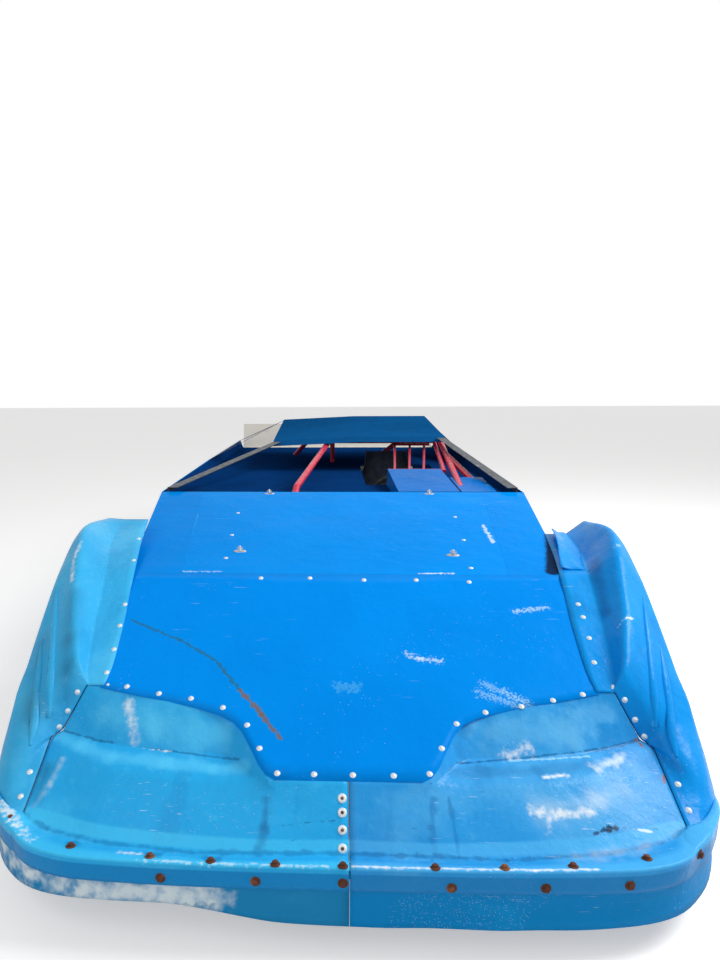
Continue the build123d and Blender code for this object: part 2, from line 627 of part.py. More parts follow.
def side_runs(side):
    """Tubes of one side: rail, shock tower, stays, legs and carriers."""
    front, middle, rear = side * FRONT_RAIL_X, side * SIDE_RAIL_X, side * REAR_RAIL_X
    firewall = (side * (SIDE_RAIL_X - 40), FIREWALL_S, FIREWALL_TOP_Z)
    rail = [(front, RAIL_FRONT_S, FRONT_RAIL_Z + 15), (front, FRONT_AXLE_S + 290, FRONT_RAIL_Z),
            (middle, FIREWALL_S - 50, SIDE_RAIL_Z), (middle, REAR_KICK_S - 240, SIDE_RAIL_Z),
            (rear, REAR_KICK_S, REAR_RAIL_Z), (rear, FRAME_END_S, rear_rail_z(FRAME_END_S))]
    tower_top = (side * TOWER_TOP_X, FRONT_AXLE_S, TOWER_TOP_Z)
    runs = [
        [(front, FRONT_AXLE_S, FRONT_RAIL_Z), tower_top],
        [(front, RADIATOR_S, FRONT_RAIL_Z + 10), tower_top, firewall],
        [(middle, FIREWALL_S - 20, SIDE_RAIL_Z), firewall],
        [(middle, LINK_S, SIDE_RAIL_Z), (side * LINK_HALF, LINK_S, LINK_Z)],
        [(middle, SHOCK_BAR_S, SIDE_RAIL_Z), (middle, SHOCK_BAR_S, SHOCK_BAR_Z)],
    ]
    runs += [[(rear, s, rear_rail_z(s)), (side * CELL_HALF, s, CELL_Z)] for s in CELL_S]
    carriers = [[(middle, s, SIDE_RAIL_Z), (side * (side_line(s)[2][0] - 18), s, 260)]
                for s in (COWL_S + 300, DOOR_REAR_S - 300)]
    thin = [(points, FRAME_R * 0.7) for points in carriers]
    return [(rail, RAIL_R)] + [(points, FRAME_R) for points in runs] + thin


def frame_tubes():
    """The whole tube frame: rails, towers, rear kick-up and cross tubes."""
    # Columns: half span, station, height
    crossings = [(FRONT_RAIL_X, RADIATOR_S, FRONT_RAIL_Z + 10), (FRONT_RAIL_X, RACK_S, FRONT_RAIL_Z),
                 (FRONT_RAIL_X, ENGINE_S[0] + 270, FRONT_RAIL_Z + 10),
                 (SIDE_RAIL_X, FIREWALL_S - 50, SIDE_RAIL_Z), (SIDE_RAIL_X, CAGE_FOOT_S, SIDE_RAIL_Z),
                 (SIDE_RAIL_X - 40, FIREWALL_S, FIREWALL_TOP_Z), (SIDE_RAIL_X, FLOOR_CROSS_S, SIDE_RAIL_Z),
                 (SIDE_RAIL_X, LINK_CROSS_S, SIDE_RAIL_Z), (LINK_HALF, LINK_S, LINK_Z),
                 (CELL_HALF, CELL_S[0], CELL_Z), (CELL_HALF, CELL_S[1], CELL_Z),
                 (REAR_RAIL_X, FRAME_END_S, rear_rail_z(FRAME_END_S))]
    runs = side_runs(-1) + side_runs(1)
    runs += [([(-half, s, z), (half, s, z)], FRAME_R) for half, s, z in crossings]
    for half, s, z in ((TOWER_TOP_X + 50, FRONT_AXLE_S, TOWER_TOP_Z),
                       (SIDE_RAIL_X, SHOCK_BAR_S, SHOCK_BAR_Z)):
        runs.append(([(-half, s, z), (half, s, z)], SHOCK_BAR_R))
    return frame_of(runs)


def frame_sections():
    """Front clip, middle and rear clip of the frame, seated end to end."""
    whole = frame_tubes()
    front, rear = FRAME_JOINTS_S
    spans = [(0, front), (front + SEAT_GAP, rear), (rear + SEAT_GAP, LENGTH)]
    return [whole.intersect(block((-SILL_HALF, SILL_HALF), span, (0, COWL_Z))).solid() for span in spans]


def front_bumper():
    """Tube bumper inside the nose ledge, held by the front rails."""
    centre_z = VALLEY_Z - PLASTIC - SEAT_GAP - BUMPER_R
    plan = [(0, 42), (352, 44), (480, 54), (690, 80), (790, 106), (900, 168)]
    right = [(x, s, centre_z) for x, s in plan]
    bar = run([(-x, s, z) for x, s, z in right[:0:-1]] + right, BUMPER_R)
    arms = [rod((side * FRONT_RAIL_X, 46, centre_z),
                (side * FRONT_RAIL_X, RAIL_FRONT_S - SEAT_GAP, centre_z), BUMPER_R)
            for side in (-1, 1)]
    return weld(bar, *arms)


def rear_bumper():
    """Tube hoop behind the tail, held by the rear rails."""
    z, start = rear_rail_z(FRAME_END_S), FRAME_END_S + FRAME_R + SEAT_GAP
    points = [(-REAR_RAIL_X, start, z), (-REAR_RAIL_X, LENGTH - BUMPER_R, z),
              (REAR_RAIL_X, LENGTH - BUMPER_R, z), (REAR_RAIL_X, start, z)]
    return run(points, BUMPER_R)


def powertrain():
    """Engine as one plain block, gearbox with its mount, and the propeller shaft."""
    floor = FRONT_RAIL_Z + 10 + FRAME_R + SEAT_GAP
    engine = block((-ENGINE_HALF, ENGINE_HALF), ENGINE_S, (floor, 700))
    gearbox = rod((0, ENGINE_S[1] - 10, SHAFT_Z), (0, GEARBOX_END_S, SHAFT_Z), 78)
    mount = block((-60, 60), (FIREWALL_S - 80, FIREWALL_S - 20), (SIDE_RAIL_Z + FRAME_R + SEAT_GAP, 290))
    shaft = rod((0, GEARBOX_END_S - 10, SHAFT_Z), (0, SNOUT_S - SEAT_GAP, SNOUT_Z), 32)
    return weld(engine, gearbox, mount, shaft)


def exhausts():
    """Collector pipes that turn down beside the engine."""
    start = ENGINE_S[0] + 230
    path = [(ENGINE_HALF + SEAT_GAP, start, 350), (ENGINE_HALF + 38, start, 350),
            (ENGINE_HALF + 50, start + 60, 335),
            (ENGINE_HALF + 55, start + 200, 280), (ENGINE_HALF + 60, start + 290, 150)]
    return both(run(path, 38))


def radiator():
    """Upright radiator on the front crossmember."""
    foot_z = FRONT_RAIL_Z + 10 + FRAME_R + SEAT_GAP
    return block((-310, 310), (RADIATOR_S - 25, RADIATOR_S + 25), (foot_z, 590))


def fuel_cell():
    """Fuel cell box on its cross tubes."""
    floor = CELL_Z + FRAME_R + SEAT_GAP
    top = floor + 230
    box = block((50 - CELL_HALF, CELL_HALF - 50), (CELL_S[0] - 60, CELL_S[1] + 60), (floor, top))
    neck = rod((180, CELL_S[1] - 80, top - 1), (180, CELL_S[1] - 80, top + 32), 45)
    return weld(box, neck)


def cockpit_tub():
    """Sheet tub round the driver: floor, tunnel wall, front wall and sloping rear wall."""
    x0, x1 = TUB_X
    s0, s1 = TUB_S
    top = DECK_Z - SHEET - SEAT_GAP
    floor = block((x0, x1), (s0, s1), (TUB_FLOOR_Z, TUB_FLOOR_Z + SHEET))
    tunnel_line = [(s0, TUB_FLOOR_Z), (s1, TUB_FLOOR_Z), (TUB_REAR_TOP_S, top), (s0, top)]
    tunnel_face = Face(Wire.make_polygon([Vector(x0, s, z) for s, z in tunnel_line], close=True))
    tunnel = Solid.extrude(tunnel_face, Vector(SHEET, 0, 0))
    front = block((x0, x1), (s0, s0 + SHEET), (TUB_FLOOR_Z, 800))
    slope = [(s1 - SHEET, TUB_FLOOR_Z), (s1, TUB_FLOOR_Z), (TUB_REAR_TOP_S, top), (TUB_REAR_TOP_S - SHEET, top)]
    slope_face = Face(Wire.make_polygon([Vector(x0, s, z) for s, z in slope], close=True))
    rear = Solid.extrude(slope_face, Vector(x1 - x0, 0, 0))
    holes = [run(COLUMN_LOWER, COLUMN_R + HOLE_GAP), rod(COLUMN_START, COLUMN_END, COLUMN_R + 4 + HOLE_GAP),
             run(DASH_BAR, CAGE_R + HOLE_GAP)]
    return cut_out(weld(floor, tunnel, front, rear), holes)


def seat():
    """Shell seat with side bolsters and head rest on two feet."""
    # Columns: station, height, half width, bolster height, tilt of the section from upright
    rows = [(0, 285, 180, 90, 0), (270, 262, 190, 110, 20), (400, 400, 195, 130, 70),
            (500, 760, 200, 150, 78), (530, 900, 150, 130, 80), (560, 1000, 140, 120, 80)]
    sections = []
    for back, z, half, bolster, tilt in rows:
        s, lean = SEAT_FRONT_S + back, radians(tilt)
        line = [(-half - 15, bolster), (-half, 0), (half, 0), (half + 15, bolster)]
        sections.append([(SEAT_X + u, s - v * sin(lean), z + v * cos(lean)) for u, v in band(line, 5)])
    shell = skin(sections)
    foot_z = TUB_FLOOR_Z + SHEET + SEAT_GAP
    feet = [block((SEAT_X + a, SEAT_X + a + 40), (SEAT_FRONT_S + 60, SEAT_FRONT_S + 260), (foot_z, 267))
            for a in (-150, 110)]
    return weld(shell, *feet)


def steering_column():
    """Column from the dash to the rack, held under the dash bar."""
    end = Vector(*COLUMN_END)
    axis = (end - Vector(*COLUMN_START)).normalized()
    upper = rod(COLUMN_START, COLUMN_END, COLUMN_R + 4)
    pin = rod(COLUMN_END, end + axis * 40, 9)
    lower = run(COLUMN_LOWER, COLUMN_R)
    hanger = rod((HANGER_X, HANGER_S, 603), (HANGER_X, HANGER_S, DASH_BAR[0][2] - CAGE_R - SEAT_GAP), 12)
    return weld(upper, pin, lower, hanger)


def steering_wheel():
    """Three-spoke wheel on the column pin."""
    end = Vector(*COLUMN_END)
    axis = (end - Vector(*COLUMN_START)).normalized()
    plane = Plane(origin=end + axis * SEAT_GAP, x_dir=(1, 0, 0), z_dir=axis)
    rim = (plane * Pos(0, 0, 55) * Torus(WHEEL_RIM_R, 13)).solid()
    hub = (plane * Pos(0, 0, 25) * Cylinder(32, 50)).solid()
    spokes = []
    for angle in (90, 210, 330):
        spoke = plane * Rot(0, 0, angle) * Pos(WHEEL_RIM_R / 2, 0, 45) * Box(WHEEL_RIM_R - 6, 28, 5)
        spokes.append(spoke.solid())
    bore = (plane * Pos(0, 0, 20) * Cylinder(9 + PIN_GAP, 42)).solid()
    return weld(hub, rim, *spokes).cut(bore)


def wishbone(inner_x, half_spread, inner_z, eye_z0, eye_z1, radius):
    """Two legs from their pivots to one eye at the kingpin."""
    eye_z = (eye_z0 + eye_z1) / 2
    pieces = [rod((KINGPIN_X, FRONT_AXLE_S, eye_z0), (KINGPIN_X, FRONT_AXLE_S, eye_z1), 22)]
    for side in (-1, 1):
        s = FRONT_AXLE_S + side * half_spread
        pieces.append(rod((inner_x, s, inner_z), (KINGPIN_X - 18, FRONT_AXLE_S + side * 6, eye_z), radius))
        pieces.append(rod((inner_x, s - 28, inner_z), (inner_x, s + 28, inner_z), 14))
    body = weld(*pieces)
    bore = rod((KINGPIN_X, FRONT_AXLE_S, eye_z0 - 5), (KINGPIN_X, FRONT_AXLE_S, eye_z1 + 5), PIN_R + PIN_GAP)
    return body.cut(bore)


def tower_x(z):
    """Middle of the shock tower tube at a height."""
    return FRONT_RAIL_X + (TOWER_TOP_X - FRONT_RAIL_X) * (z - FRONT_RAIL_Z) / (TOWER_TOP_Z - FRONT_RAIL_Z)


def front_suspension():
    """Lower and upper wishbones on both sides."""
    lower_x = FRONT_RAIL_X + RAIL_R + 14 + SEAT_GAP
    lower = wishbone(lower_x, 140, FRONT_RAIL_Z, KNUCKLE_LOW_Z - 27, KNUCKLE_LOW_Z - 1, 11)
    upper = wishbone(tower_x(470) + 45, 70, 470, KNUCKLE_HIGH_Z + 1, KNUCKLE_HIGH_Z + 27, 10)
    tower = tower_x(470)
    lug = block((tower + FRAME_R + 1.5, tower + 45), (FRONT_AXLE_S - 80, FRONT_AXLE_S + 80), (462, 478))
    seat_plate = block((570, 626), (FRONT_AXLE_S - 62, FRONT_AXLE_S + 62), (SHOCK_FOOT_Z - 20, SHOCK_FOOT_Z))
    return both(weld(lower, seat_plate)) + both(weld(upper, lug))


def damper(foot, head):
    """Damper with a spring sleeve between two eyes."""
    foot, head = Vector(*foot), Vector(*head)
    axis = (head - foot).normalized()
    length = (head - foot).length
    body = rod(foot, head, 20)
    sleeve = rod(foot + axis * 60, foot + axis * (length - 50), 31)
    return weld(body, sleeve)


def coil_shocks():
    """Four dampers with their springs."""
    front = damper((598, FRONT_AXLE_S, SHOCK_FOOT_Z + 6.9),
                   (468, FRONT_AXLE_S, TOWER_TOP_Z - SHOCK_BAR_R - 7))
    rear = damper((REAR_SHOCK_X, REAR_AXLE_S + 80, REAR_FOOT_Z + 2),
                  (REAR_SHOCK_X, SHOCK_BAR_S, SHOCK_BAR_Z - SHOCK_BAR_R - 2))
    return both(front) + both(rear)


def caliper(centre_x, axle_s, axle_z, inner):
    """Brake caliper over the rotor's rear edge, on an arm at the hub's inner side."""
    body = block((centre_x - 165, centre_x - 121), (axle_s + 100, axle_s + 165), (axle_z - 55, axle_z + 55))
    half = ROTOR_T / 2 + RUNNING_GAP
    slot = block((centre_x - 143 - half, centre_x - 143 + half),
                 (axle_s + 80, axle_s + ROTOR_R + RUNNING_GAP + 1), (axle_z - 60, axle_z + 60))
    arm = block((centre_x + inner, centre_x - 158), (axle_s + 10, axle_s + 130), (axle_z - 20, axle_z + 20))
    return weld(body.cut(slot), arm)


def knuckle():
    """Upright with kingpin ends, spindle, steering arm and caliper, on the driver's side."""
    x, s, z = KINGPIN_X, FRONT_AXLE_S, FRONT_TYRE_R
    upright = block((x - 16, x + 16), (s - 22, s + 22), (KNUCKLE_LOW_Z, KNUCKLE_HIGH_Z))
    boss = rod((x, s, z), (FRONT_TRACK_X - 153, s, z), 38)
    spindle = rod((x, s, z), (FRONT_TRACK_X + 5, s, z), SPINDLE_R)
    low_pin = rod((x, s, KNUCKLE_LOW_Z - 26), (x, s, KNUCKLE_LOW_Z + 1), PIN_R)
    high_pin = rod((x, s, KNUCKLE_HIGH_Z - 1), (x, s, KNUCKLE_HIGH_Z + 26), PIN_R)
    arm_end = (x - 30, s - STEER_ARM)
    arm = rod((x, s, KNUCKLE_LOW_Z + 22), (arm_end[0], arm_end[1], KNUCKLE_LOW_Z + 22), 9)
    boss_end = rod((arm_end[0], arm_end[1], KNUCKLE_LOW_Z + 12),
                   (arm_end[0], arm_end[1], KNUCKLE_LOW_Z + 34), 18)
    return weld(upright, boss, spindle, low_pin, high_pin, arm, boss_end, caliper(FRONT_TRACK_X, s, z, -205))


def steering_rack():
    """Rack housing on the front crossmember."""
    tube = rod((-215, RACK_S, RACK_Z), (215, RACK_S, RACK_Z), 22)
    foot_z = FRONT_RAIL_Z + FRAME_R + SEAT_GAP
    feet = [block((x - 15, x + 15), (RACK_S - 16, RACK_S + 16), (foot_z, RACK_Z - 5)) for x in (-150, 150)]
    bore = rod((-220, RACK_S, RACK_Z), (220, RACK_S, RACK_Z), 11 + PIN_GAP)
    return weld(tube, *feet).cut(bore)


def rack_bar():
    """Sliding rack bar with both tie rods, their eyes under the steering arms."""
    end_x, end_s = KINGPIN_X - 30, FRONT_AXLE_S - STEER_ARM
    eye_z = KNUCKLE_LOW_Z + 3
    pieces = [rod((-330, RACK_S, RACK_Z), (330, RACK_S, RACK_Z), 11)]
    for side in (-1, 1):
        pieces.append(rod((side * 320, RACK_S, RACK_Z), (side * 350, RACK_S, RACK_Z), 15))
        pieces.append(rod((side * 335, RACK_S, RACK_Z), (side * end_x, end_s, eye_z), 8))
        pieces.append(rod((side * end_x, end_s, eye_z - 9), (side * end_x, end_s, eye_z + 8), 17))
    return weld(*pieces)


def rear_axle():
    """Axle housing with its tubes, link brackets, calipers and spindles."""
    s, z = REAR_AXLE_S, REAR_TYRE_R
    centre = rod((-130, s, z), (130, s, z), 112)
    snout = rod((0, SNOUT_S, SNOUT_Z), (0, s, z), 52)
    tubes = rod((-REAR_TRACK_X + 155, s, z), (REAR_TRACK_X - 155, s, z), 38)
    spindles = rod((-REAR_TRACK_X - 5, s, z), (REAR_TRACK_X + 5, s, z), SPINDLE_R)
    brackets = [block((x - 6, x + 6), (s - 60, s + 10), (z - 115, z + 115)) for x in (-LINK_X, LINK_X)]
    ends = []
    for side in (-1, 1):
        arm = block((REAR_SHOCK_X - 20, REAR_SHOCK_X + 20), (s - 10, s + 100), (REAR_FOOT_Z - 30, REAR_FOOT_Z))
        web = block((REAR_SHOCK_X - 10, REAR_SHOCK_X + 10), (s - 10, s + 45), (REAR_FOOT_Z - 20, z - 10))
        piece = weld(caliper(REAR_TRACK_X, s, z, -200), weld(arm, web))
        ends.append(piece if side > 0 else other_side(piece))
    rod_lug = block((-110, -84.5), (s + 90, CROSS_ROD_S + 14), (z - 14, z + 14))
    return weld(centre, snout, tubes, spindles, rod_lug, *brackets, *ends)


def rear_links():
    """Trailing rods from the frame to the axle, and the cross rod behind it."""
    s, z = REAR_AXLE_S - 60, REAR_TYRE_R
    rods = []
    for x in (-LINK_X, LINK_X):
        rods.append(rod((x, LINK_CROSS_S + FRAME_R + 3, SIDE_RAIL_Z - 8), (x, s - 3, z - 95), 13))
        rods.append(rod((x, LINK_S + FRAME_R + 1, LINK_Z), (x, s - 1, z + 95), 13))
    cross = rod((-84, CROSS_ROD_S, z), (SIDE_RAIL_X - 12, CROSS_ROD_S, z + 30), 13)
    return rods + [cross]


def spun(profile, centre_x, axle_s, axle_z, side):
    """Turn a profile of (outboard, radius) points about a wheel's axle."""
    points = [Vector(side * (centre_x + u), axle_s + r, axle_z) for u, r in profile]
    face = Face(Wire.make_polygon(points, close=True))
    return Solid.revolve(face, 360, Axis((0, axle_s, axle_z), (1, 0, 0)))


def rim(centre_x, axle_s, axle_z, side):
    """Deep rim with its hub and brake rotor."""
    barrel = [(-RIM_HALF, 203), (-RIM_HALF, 184), (-75, 184), (-62, 158), (58, 158), (72, 184),
              (RIM_HALF, 184), (RIM_HALF, 203), (RIM_HALF - 5, 203), (RIM_HALF - 8, 189), (76, 189),
              (62, 163), (-66, 163), (-79, 189), (-RIM_HALF + 8, 189), (-RIM_HALF + 5, 203)]
    web = [(HUB_FACE - 12, 112), (HUB_FACE, 112), (HUB_FACE, 148), (HUB_FACE + 20, 159),
           (HUB_FACE + 6, 159), (HUB_FACE - 12, 150)]
    flange = [(HUB_FACE - 24, 40), (HUB_FACE - 12, 40), (HUB_FACE - 12, 146), (HUB_FACE - 24, 146)]
    barrel_hub = [(-148, SPINDLE_R + PIN_GAP), (-148, ROTOR_R), (-138, ROTOR_R), (-138, 44), (20, 44),
                  (28, 36), (28, SPINDLE_R + PIN_GAP)]
    cap = [(10, 0), (28, 0), (28, 30), (10, 30)]
    parts = [spun(p, centre_x, axle_s, axle_z, side) for p in (barrel, web, flange, barrel_hub, cap)]
    for index in range(5):
        angle = radians(90 + 72 * index)
        s, z = axle_s + STUD_CIRCLE_R * cos(angle), axle_z + STUD_CIRCLE_R * sin(angle)
        parts.append(rod((side * (centre_x + HUB_FACE - 2), s, z),
                         (side * (centre_x + HUB_FACE + 22), s, z), 13))
    return weld(*parts)


def tyre(centre_x, axle_s, axle_z, radius, side):
    """Tyre with rounded shoulders that grips the bead seats of its rim."""
    seat = 189 + SEAT_GAP
    half, tread = TYRE_WIDTH / 2, TREAD_WIDTH / 2
    profile = [(-RIM_HALF + 9, seat), (-RIM_HALF + 9, 206), (-half + 8, 235), (-half, 275),
               (-half + 6, radius - 38), (-tread - 12, radius - 12), (-tread + 8, radius), (tread - 8, radius),
               (tread + 12, radius - 12), (half - 6, radius - 38), (half, 275), (half - 8, 235),
               (RIM_HALF - 9, 206), (RIM_HALF - 9, seat), (80, seat), (80, 225), (-80, 225), (-80, seat)]
    return spun(profile, centre_x, axle_s, axle_z, side)


def write_running_gear():
    """Rims, tyres and knuckles, one node each."""
    # Columns: name, track, axle station, radius, side
    wheels = [("front_left", FRONT_TRACK_X, FRONT_AXLE_S, FRONT_TYRE_R, 1),
              ("front_right", FRONT_TRACK_X, FRONT_AXLE_S, FRONT_TYRE_R, -1),
              ("rear_left", REAR_TRACK_X, REAR_AXLE_S, REAR_TYRE_R, 1),
              ("rear_right", REAR_TRACK_X, REAR_AXLE_S, REAR_TYRE_R, -1)]
    for name, track, axle_s, radius, side in wheels:
        save(f"rim_{name}", rim(track, axle_s, radius, side))
        save(f"tyre_{name}", tyre(track, axle_s, radius, radius, side))
    save("knuckle_left", knuckle())
    save("knuckle_right", other_side(knuckle()))
    save("rack_bar", rack_bar())


def write_body():
    """Nose, sheets, deck, roof and tail."""
    for name, make in (("nose", nose), ("flare", flare)):
        save(f"{name}_left", make())
        save(f"{name}_right", other_side(make()))
    save("valance", *both(valance()))
    save("nose_panel", nose_panel())
    save("bonnet", bonnet())
    save("fender_tops", *both(fender_top()))
    save("door_sides", *both(door_side()))
    save("quarter_sides", *both(quarter_side()))
    save("deck", deck())
    save("dash_cowl", *dash_cowl())
    save("roof", roof())
    save("roof_posts", roof_post(-1), roof_post(1))
    save("sail_panels", sail_panel(-1), sail_panel(1))
    save("spoiler", spoiler())
    save("tail_panel", tail_panel())


def write_frame():
    """Frame, cage, axles and what they carry."""
    for name, section in zip(("front_clip", "chassis_frame", "rear_clip"), frame_sections()):
        save(name, section)
    save("roll_cage", roll_cage())
    save("windshield_bars", windshield_bars())
    save("front_bumper", front_bumper())
    save("rear_bumper", rear_bumper())
    save("powertrain", powertrain())
    save("exhausts", *exhausts())
    save("radiator", radiator())
    save("fuel_cell", fuel_cell())
    save("cockpit_tub", cockpit_tub())
    save("seat", seat())
    save("steering_column", steering_column())
    save("steering_wheel", steering_wheel())
    save("front_suspension", *front_suspension())
    save("coil_shocks", *coil_shocks())
    save("steering_rack", steering_rack())
    save("rear_axle", rear_axle())
    save("rear_links", *rear_links())


write_body()
write_frame()
write_running_gear()
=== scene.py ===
import json
from math import cos, pi, radians, sin

import bmesh
import bpy
from mathutils import Matrix, Quaternion, Vector
from mathutils.bvhtree import BVHTree

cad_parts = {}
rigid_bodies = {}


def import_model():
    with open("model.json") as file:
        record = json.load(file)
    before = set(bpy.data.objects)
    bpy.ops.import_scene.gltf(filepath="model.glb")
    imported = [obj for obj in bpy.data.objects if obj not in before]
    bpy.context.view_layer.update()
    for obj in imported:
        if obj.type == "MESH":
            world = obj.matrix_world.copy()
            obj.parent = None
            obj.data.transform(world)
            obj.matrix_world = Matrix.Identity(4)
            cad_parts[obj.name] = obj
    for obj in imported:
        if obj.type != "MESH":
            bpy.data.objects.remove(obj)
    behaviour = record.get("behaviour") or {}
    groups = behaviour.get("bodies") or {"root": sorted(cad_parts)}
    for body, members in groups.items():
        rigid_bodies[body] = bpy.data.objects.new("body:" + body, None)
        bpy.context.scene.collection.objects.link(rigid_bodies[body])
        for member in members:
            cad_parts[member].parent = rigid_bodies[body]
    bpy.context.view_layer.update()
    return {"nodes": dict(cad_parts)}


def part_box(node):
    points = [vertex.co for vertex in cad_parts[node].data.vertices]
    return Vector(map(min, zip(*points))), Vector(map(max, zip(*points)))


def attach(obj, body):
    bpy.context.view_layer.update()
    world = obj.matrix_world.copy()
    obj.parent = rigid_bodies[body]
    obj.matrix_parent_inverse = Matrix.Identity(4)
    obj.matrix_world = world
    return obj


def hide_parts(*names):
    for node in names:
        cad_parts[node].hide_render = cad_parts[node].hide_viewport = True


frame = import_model()

# Stations run rearward from the nose tip, in metres. X runs to the car's left.
LENGTH = 5.1
SEAM_S = 0.955
COWL_S = 2.05

# Station and height of the folds of the upper body surface.
SLOPE = [(0.201, 0.403), (SEAM_S, 0.785), (COWL_S, 0.93), (5.055, 0.965)]

CAMERA_PLACE = (-0.047, -1.575, 1.516)
PITCH, YAW, ROLL = radians(8.16), radians(-2.39), radians(0.29)
LENS, SENSOR, SHIFT = 25.21, 36, 0.058

AMBIENT = 0.33
KEY = {"place": (4.6, -1.5, 5.0), "target": (0, -0.3, 0.6), "size": 3.0, "watts": 370}
FILL = {"place": (-2.5, -5.0, 3.4), "target": (0, -1.5, 0.5), "size": 3.5, "watts": 55}
FLOOR_HALF = 40
FLOOR_GLOW = 0.42
# Points nearer to each other than this count as one.
SAME = 1e-6

SIDES = ("left", "right")
WHEELS = ("front_left", "front_right", "rear_left", "rear_right")


def at(x, s, z):
    """A point from its side position, station and height."""
    return Vector((x, s - LENGTH / 2, z))


def slope_z(s):
    """Height of the upper body surface at a station."""
    for (s0, z0), (s1, z1) in zip(SLOPE, SLOPE[1:]):
        if s <= s1 or s1 == SLOPE[-1][0]:
            return z0 + (s - s0) * (z1 - z0) / (s1 - s0)


def on_slope(x, s, lift=0.0):
    """A point on the upper body surface, or above it."""
    return at(x, s, slope_z(s) + lift)


def linked(name, data):
    """A new object of some data, put in the scene."""
    obj = bpy.data.objects.new(name, data)
    bpy.context.collection.objects.link(obj)
    return obj


def camera():
    look = Vector((sin(YAW) * cos(PITCH), cos(YAW) * cos(PITCH), -sin(PITCH)))
    data = bpy.data.cameras.new("camera")
    data.sensor_width = SENSOR
    data.lens = LENS
    data.shift_x = SHIFT
    obj = linked("camera", data)
    obj.location = at(*CAMERA_PLACE)
    obj.rotation_mode = "QUATERNION"
    obj.rotation_quaternion = look.to_track_quat("-Z", "Y") @ Quaternion((0, 0, 1), -ROLL)
    bpy.context.scene.camera = obj


def add(tree, kind, inputs=None, **settings):
    """A node with its settings and its inputs' values or links."""
    node = tree.nodes.new("ShaderNode" + kind)
    for key, value in settings.items():
        setattr(node, key, value)
    for key, value in (inputs or {}).items():
        if isinstance(value, bpy.types.NodeSocket):
            tree.links.new(value, node.inputs[key])
        else:
            node.inputs[key].default_value = value
    return node


def calc(tree, operation, a, b, kind="Math", **settings):
    """The result of a sum on two values or vectors."""
    return add(tree, kind, {0: a, 1: b}, operation=operation, **settings).outputs[0]


def dot(tree, a, b):
    """The dot product of two vectors, which comes from an output of its own."""
    return add(tree, "VectorMath", {0: a, 1: b}, operation="DOT_PRODUCT").outputs["Value"]


def noise(tree, place, scale, detail, **more):
    return add(tree, "TexNoise", {"Vector": place, "Scale": scale, "Detail": detail, **more}).outputs[0]


def ramp(tree, value, low, high, to=(0.0, 1.0), smooth=False):
    """A value between two limits, spread over another span."""
    inputs = {"Value": value, "From Min": low, "From Max": high, "To Min": to[0], "To Max": to[1]}
    shape = "SMOOTHSTEP" if smooth else "LINEAR"
    return add(tree, "MapRange", inputs, interpolation_type=shape).outputs[0]


def rgb(code):
    """Linear colour from a six-digit colour code."""
    values = [int(code[i:i + 2], 16) / 255 for i in (0, 2, 4)]
    return tuple(v / 12.92 if v <= 0.04045 else ((v + 0.055) / 1.055) ** 2.4 for v in values) + (1,)


def studio():
    """White surroundings to look at, softer light on the car."""
    world = bpy.data.worlds.new("studio")
    bpy.context.scene.world = world
    world.use_nodes = True
    tree = world.node_tree
    tree.nodes.clear()
    path = add(tree, "LightPath").outputs
    seen = calc(tree, "MAXIMUM", path["Is Camera Ray"], path["Is Glossy Ray"])
    seen = calc(tree, "MAXIMUM", seen, path["Is Transmission Ray"])
    strength = ramp(tree, seen, 0.0, 1.0, to=(AMBIENT, 1.0))
    back = add(tree, "Background", {"Color": (1, 1, 1, 1), "Strength": strength})
    add(tree, "OutputWorld", {0: back.outputs[0]})
    bpy.context.scene.view_settings.view_transform = "Standard"
    lamp("key", **KEY)
    lamp("fill", **FILL)


def lamp(name, place, target, size, watts):
    """A square soft light that faces a target."""
    data = bpy.data.lights.new(name, "AREA")
    data.energy = watts
    data.size = size
    obj = linked(name, data)
    obj.location = place
    obj.rotation_mode = "QUATERNION"
    obj.rotation_quaternion = (Vector(target) - Vector(place)).to_track_quat("-Z", "Y")


